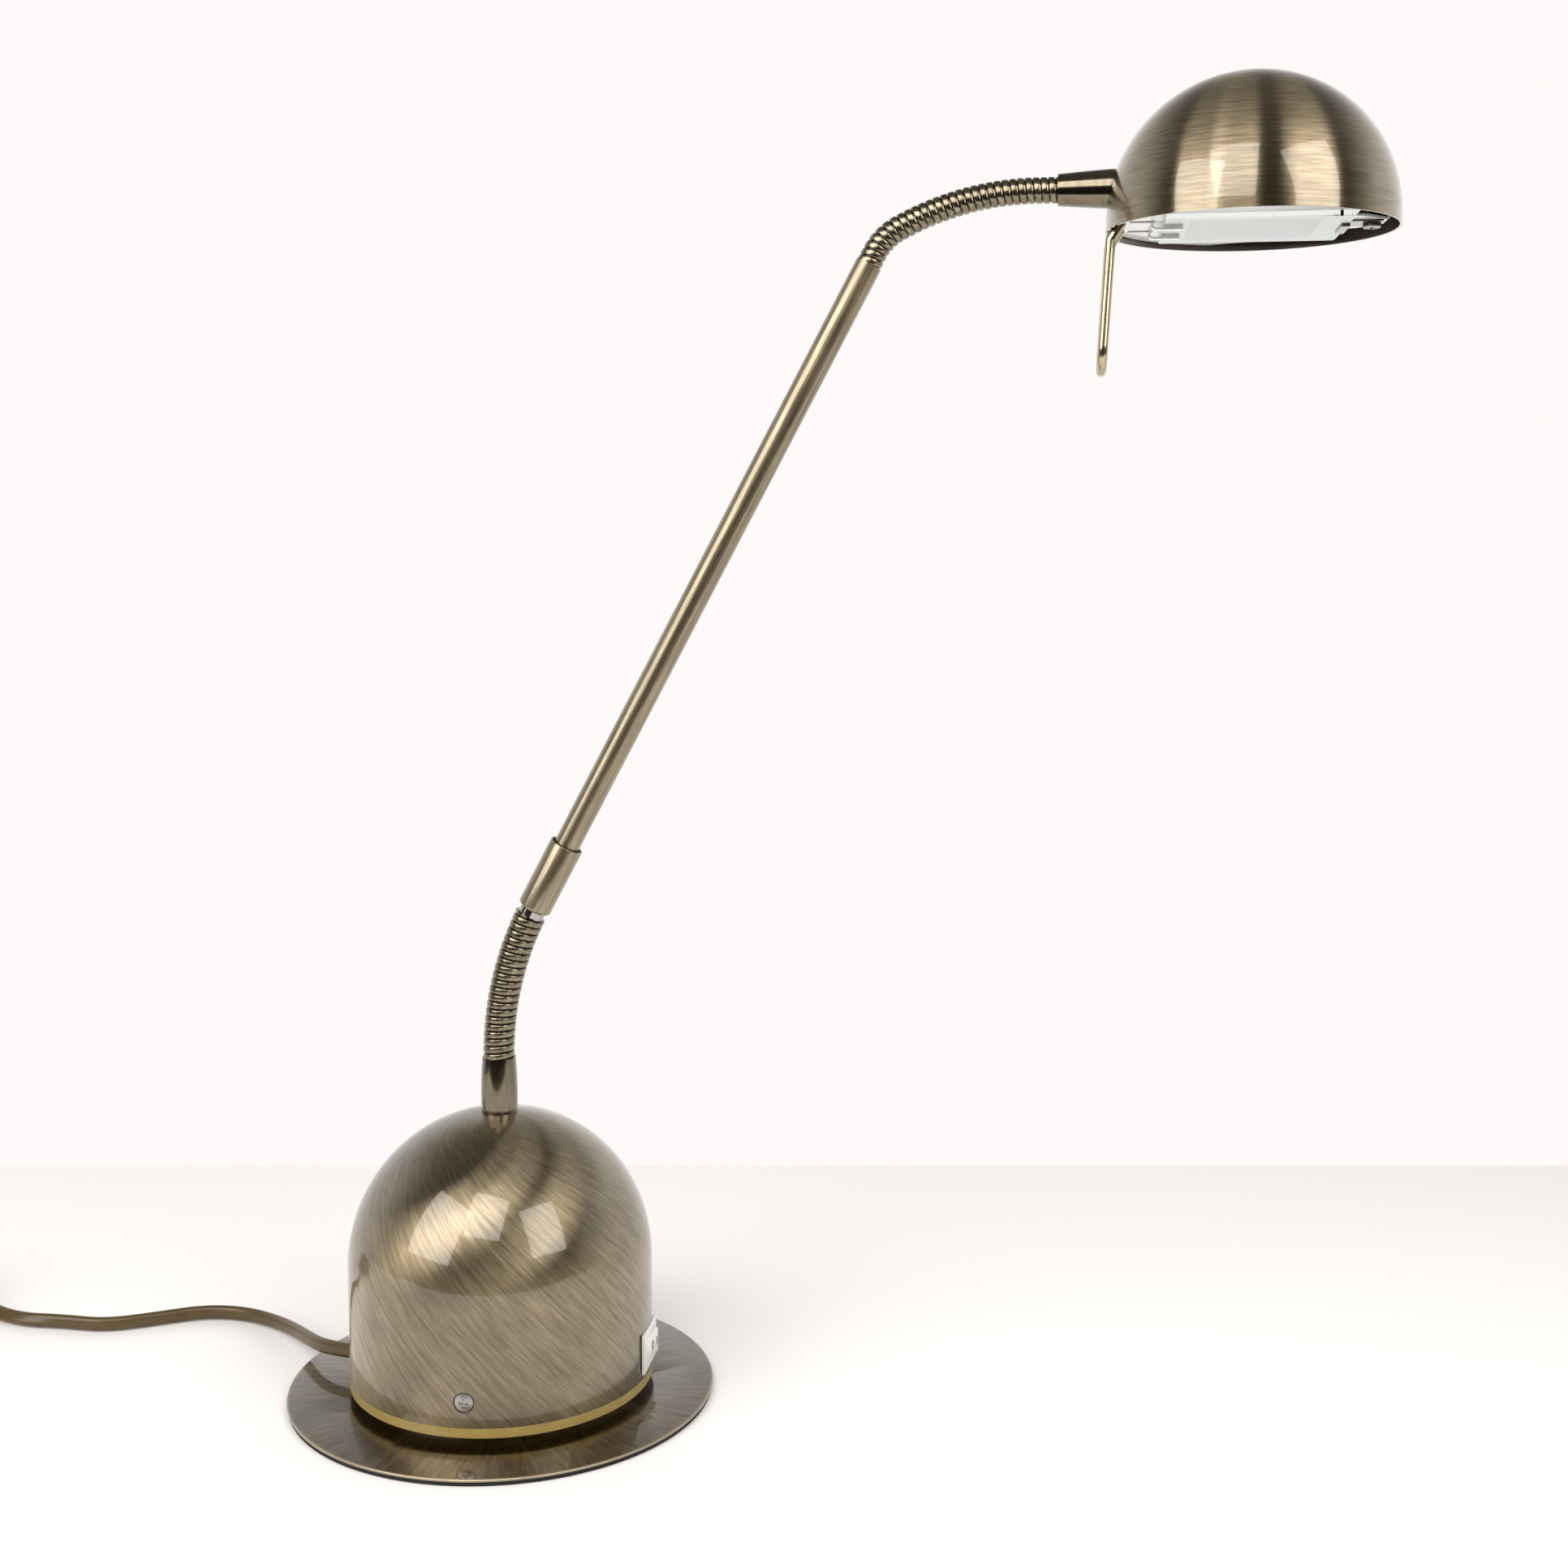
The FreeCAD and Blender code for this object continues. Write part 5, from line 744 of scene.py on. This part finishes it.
dress(DOME_BRASS, "base_dome")
dress(SHADE_BRASS, "shade_dome")
dress(PLATE_BRASS, "base_disc")
dress(ARM_BRASS, "arm_sleeve", "arm_tube")
dress(POLISHED_BRASS, "lower_ferrule", "shade_ferrule")
dress(COLLAR_NICKEL, "lower_neck_end")
dress(WIRE_BRASS, "handle_loop")
dress(CLIP_BRONZE, "glass_clip")
dress(LIP_PAINT, "base_tray")
dress(PAD_FOAM, "base_pad")
dress(SWITCH_WHITE, "switch_housing", "switch_rocker")
dress(SCREW_STEEL, "dome_screws", "clip_screw", "plate_screws")
dress(DARK_STEEL, "transformer_screws", "terminal_screws", "block_screw", "clamp_screws", "root_washer",
      "root_nut", "shade_nut", "shade_bracket", "transformer_frame", "neck_root", "upper_neck_end",
      "upper_neck_root", "arm_nipple", "holder_screw", "capsule_pins")
dress(CORE_STEEL, "transformer_core")
dress(NYLON, "transformer_bobbin", "cord_clamp")
dress(COPPER, "primary_winding", "secondary_winding", "switch_terminals")
dress(BLOCK_PLASTIC, "terminal_block")
dress(CORD_PVC, "mains_lead_inner")
dress(LEAD_PVC, "lamp_lead", "holder_lead")
dress(PAN_ENAMEL, "reflector_pan")
dress(CERAMIC, "lamp_holder")
dress(QUARTZ, "halogen_capsule")
dress(GLASS, "glass_pane")
dress(PLUG_PVC, "plug_body")
dress(PIN_BRASS, "plug_pins")
dress(TIE_NYLON, "cord_tie")

neck_pieces(LOWER_NECK, "lower_neck", LOWER_BODIES, NECK_BRASS)
neck_pieces(UPPER_NECK, "upper_neck", UPPER_BODIES, NECK_BRASS)


def cord_lay(run):
    """Roll of the cord: nearly on its edge, and half way to flat where the lead swings before the coil."""
    return 0.9 - 0.45 * eased(1 - abs(run - SWING_AT) / SWING_REACH)


cord_path = cord_line()
cord = add_object("cord_sheath", flat_cord(cord_path, cord_lay), CORD_PVC, 60)
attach(cord, "base")
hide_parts("cord_lead", "cord_coil", "cord_tail")

# Black for the printed 0 and I marks, and also for the painted shadow rings round the dome screws
ink_and_painted_shadow = moulded("ink_and_painted_shadow", (0.03, 0.03, 0.03), 0.5)
put_mark("on_mark", bar_mark(), BAR_ALONG, ink_and_painted_shadow)
put_mark("off_mark", ring_mark(), RING_ALONG, ink_and_painted_shadow)
# Painted shadow: dark rings round the front and back dome screws' heads
front_ring_shadow = screw_shadow_ring()
back_ring_shadow = front_ring_shadow.copy()
turn_about(back_ring_shadow, 180, "Z")
for name, bm in (("front_screw_shadow_ring", front_ring_shadow), ("back_screw_shadow_ring", back_ring_shadow)):
    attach(add_object(name, bm, ink_and_painted_shadow), "base")

finished("switch_rocker", SWITCH_WHITE, 0.3)
finished("base_disc", PLATE_BRASS, 0.2)
finished("arm_sleeve", ARM_BRASS, 0.3)
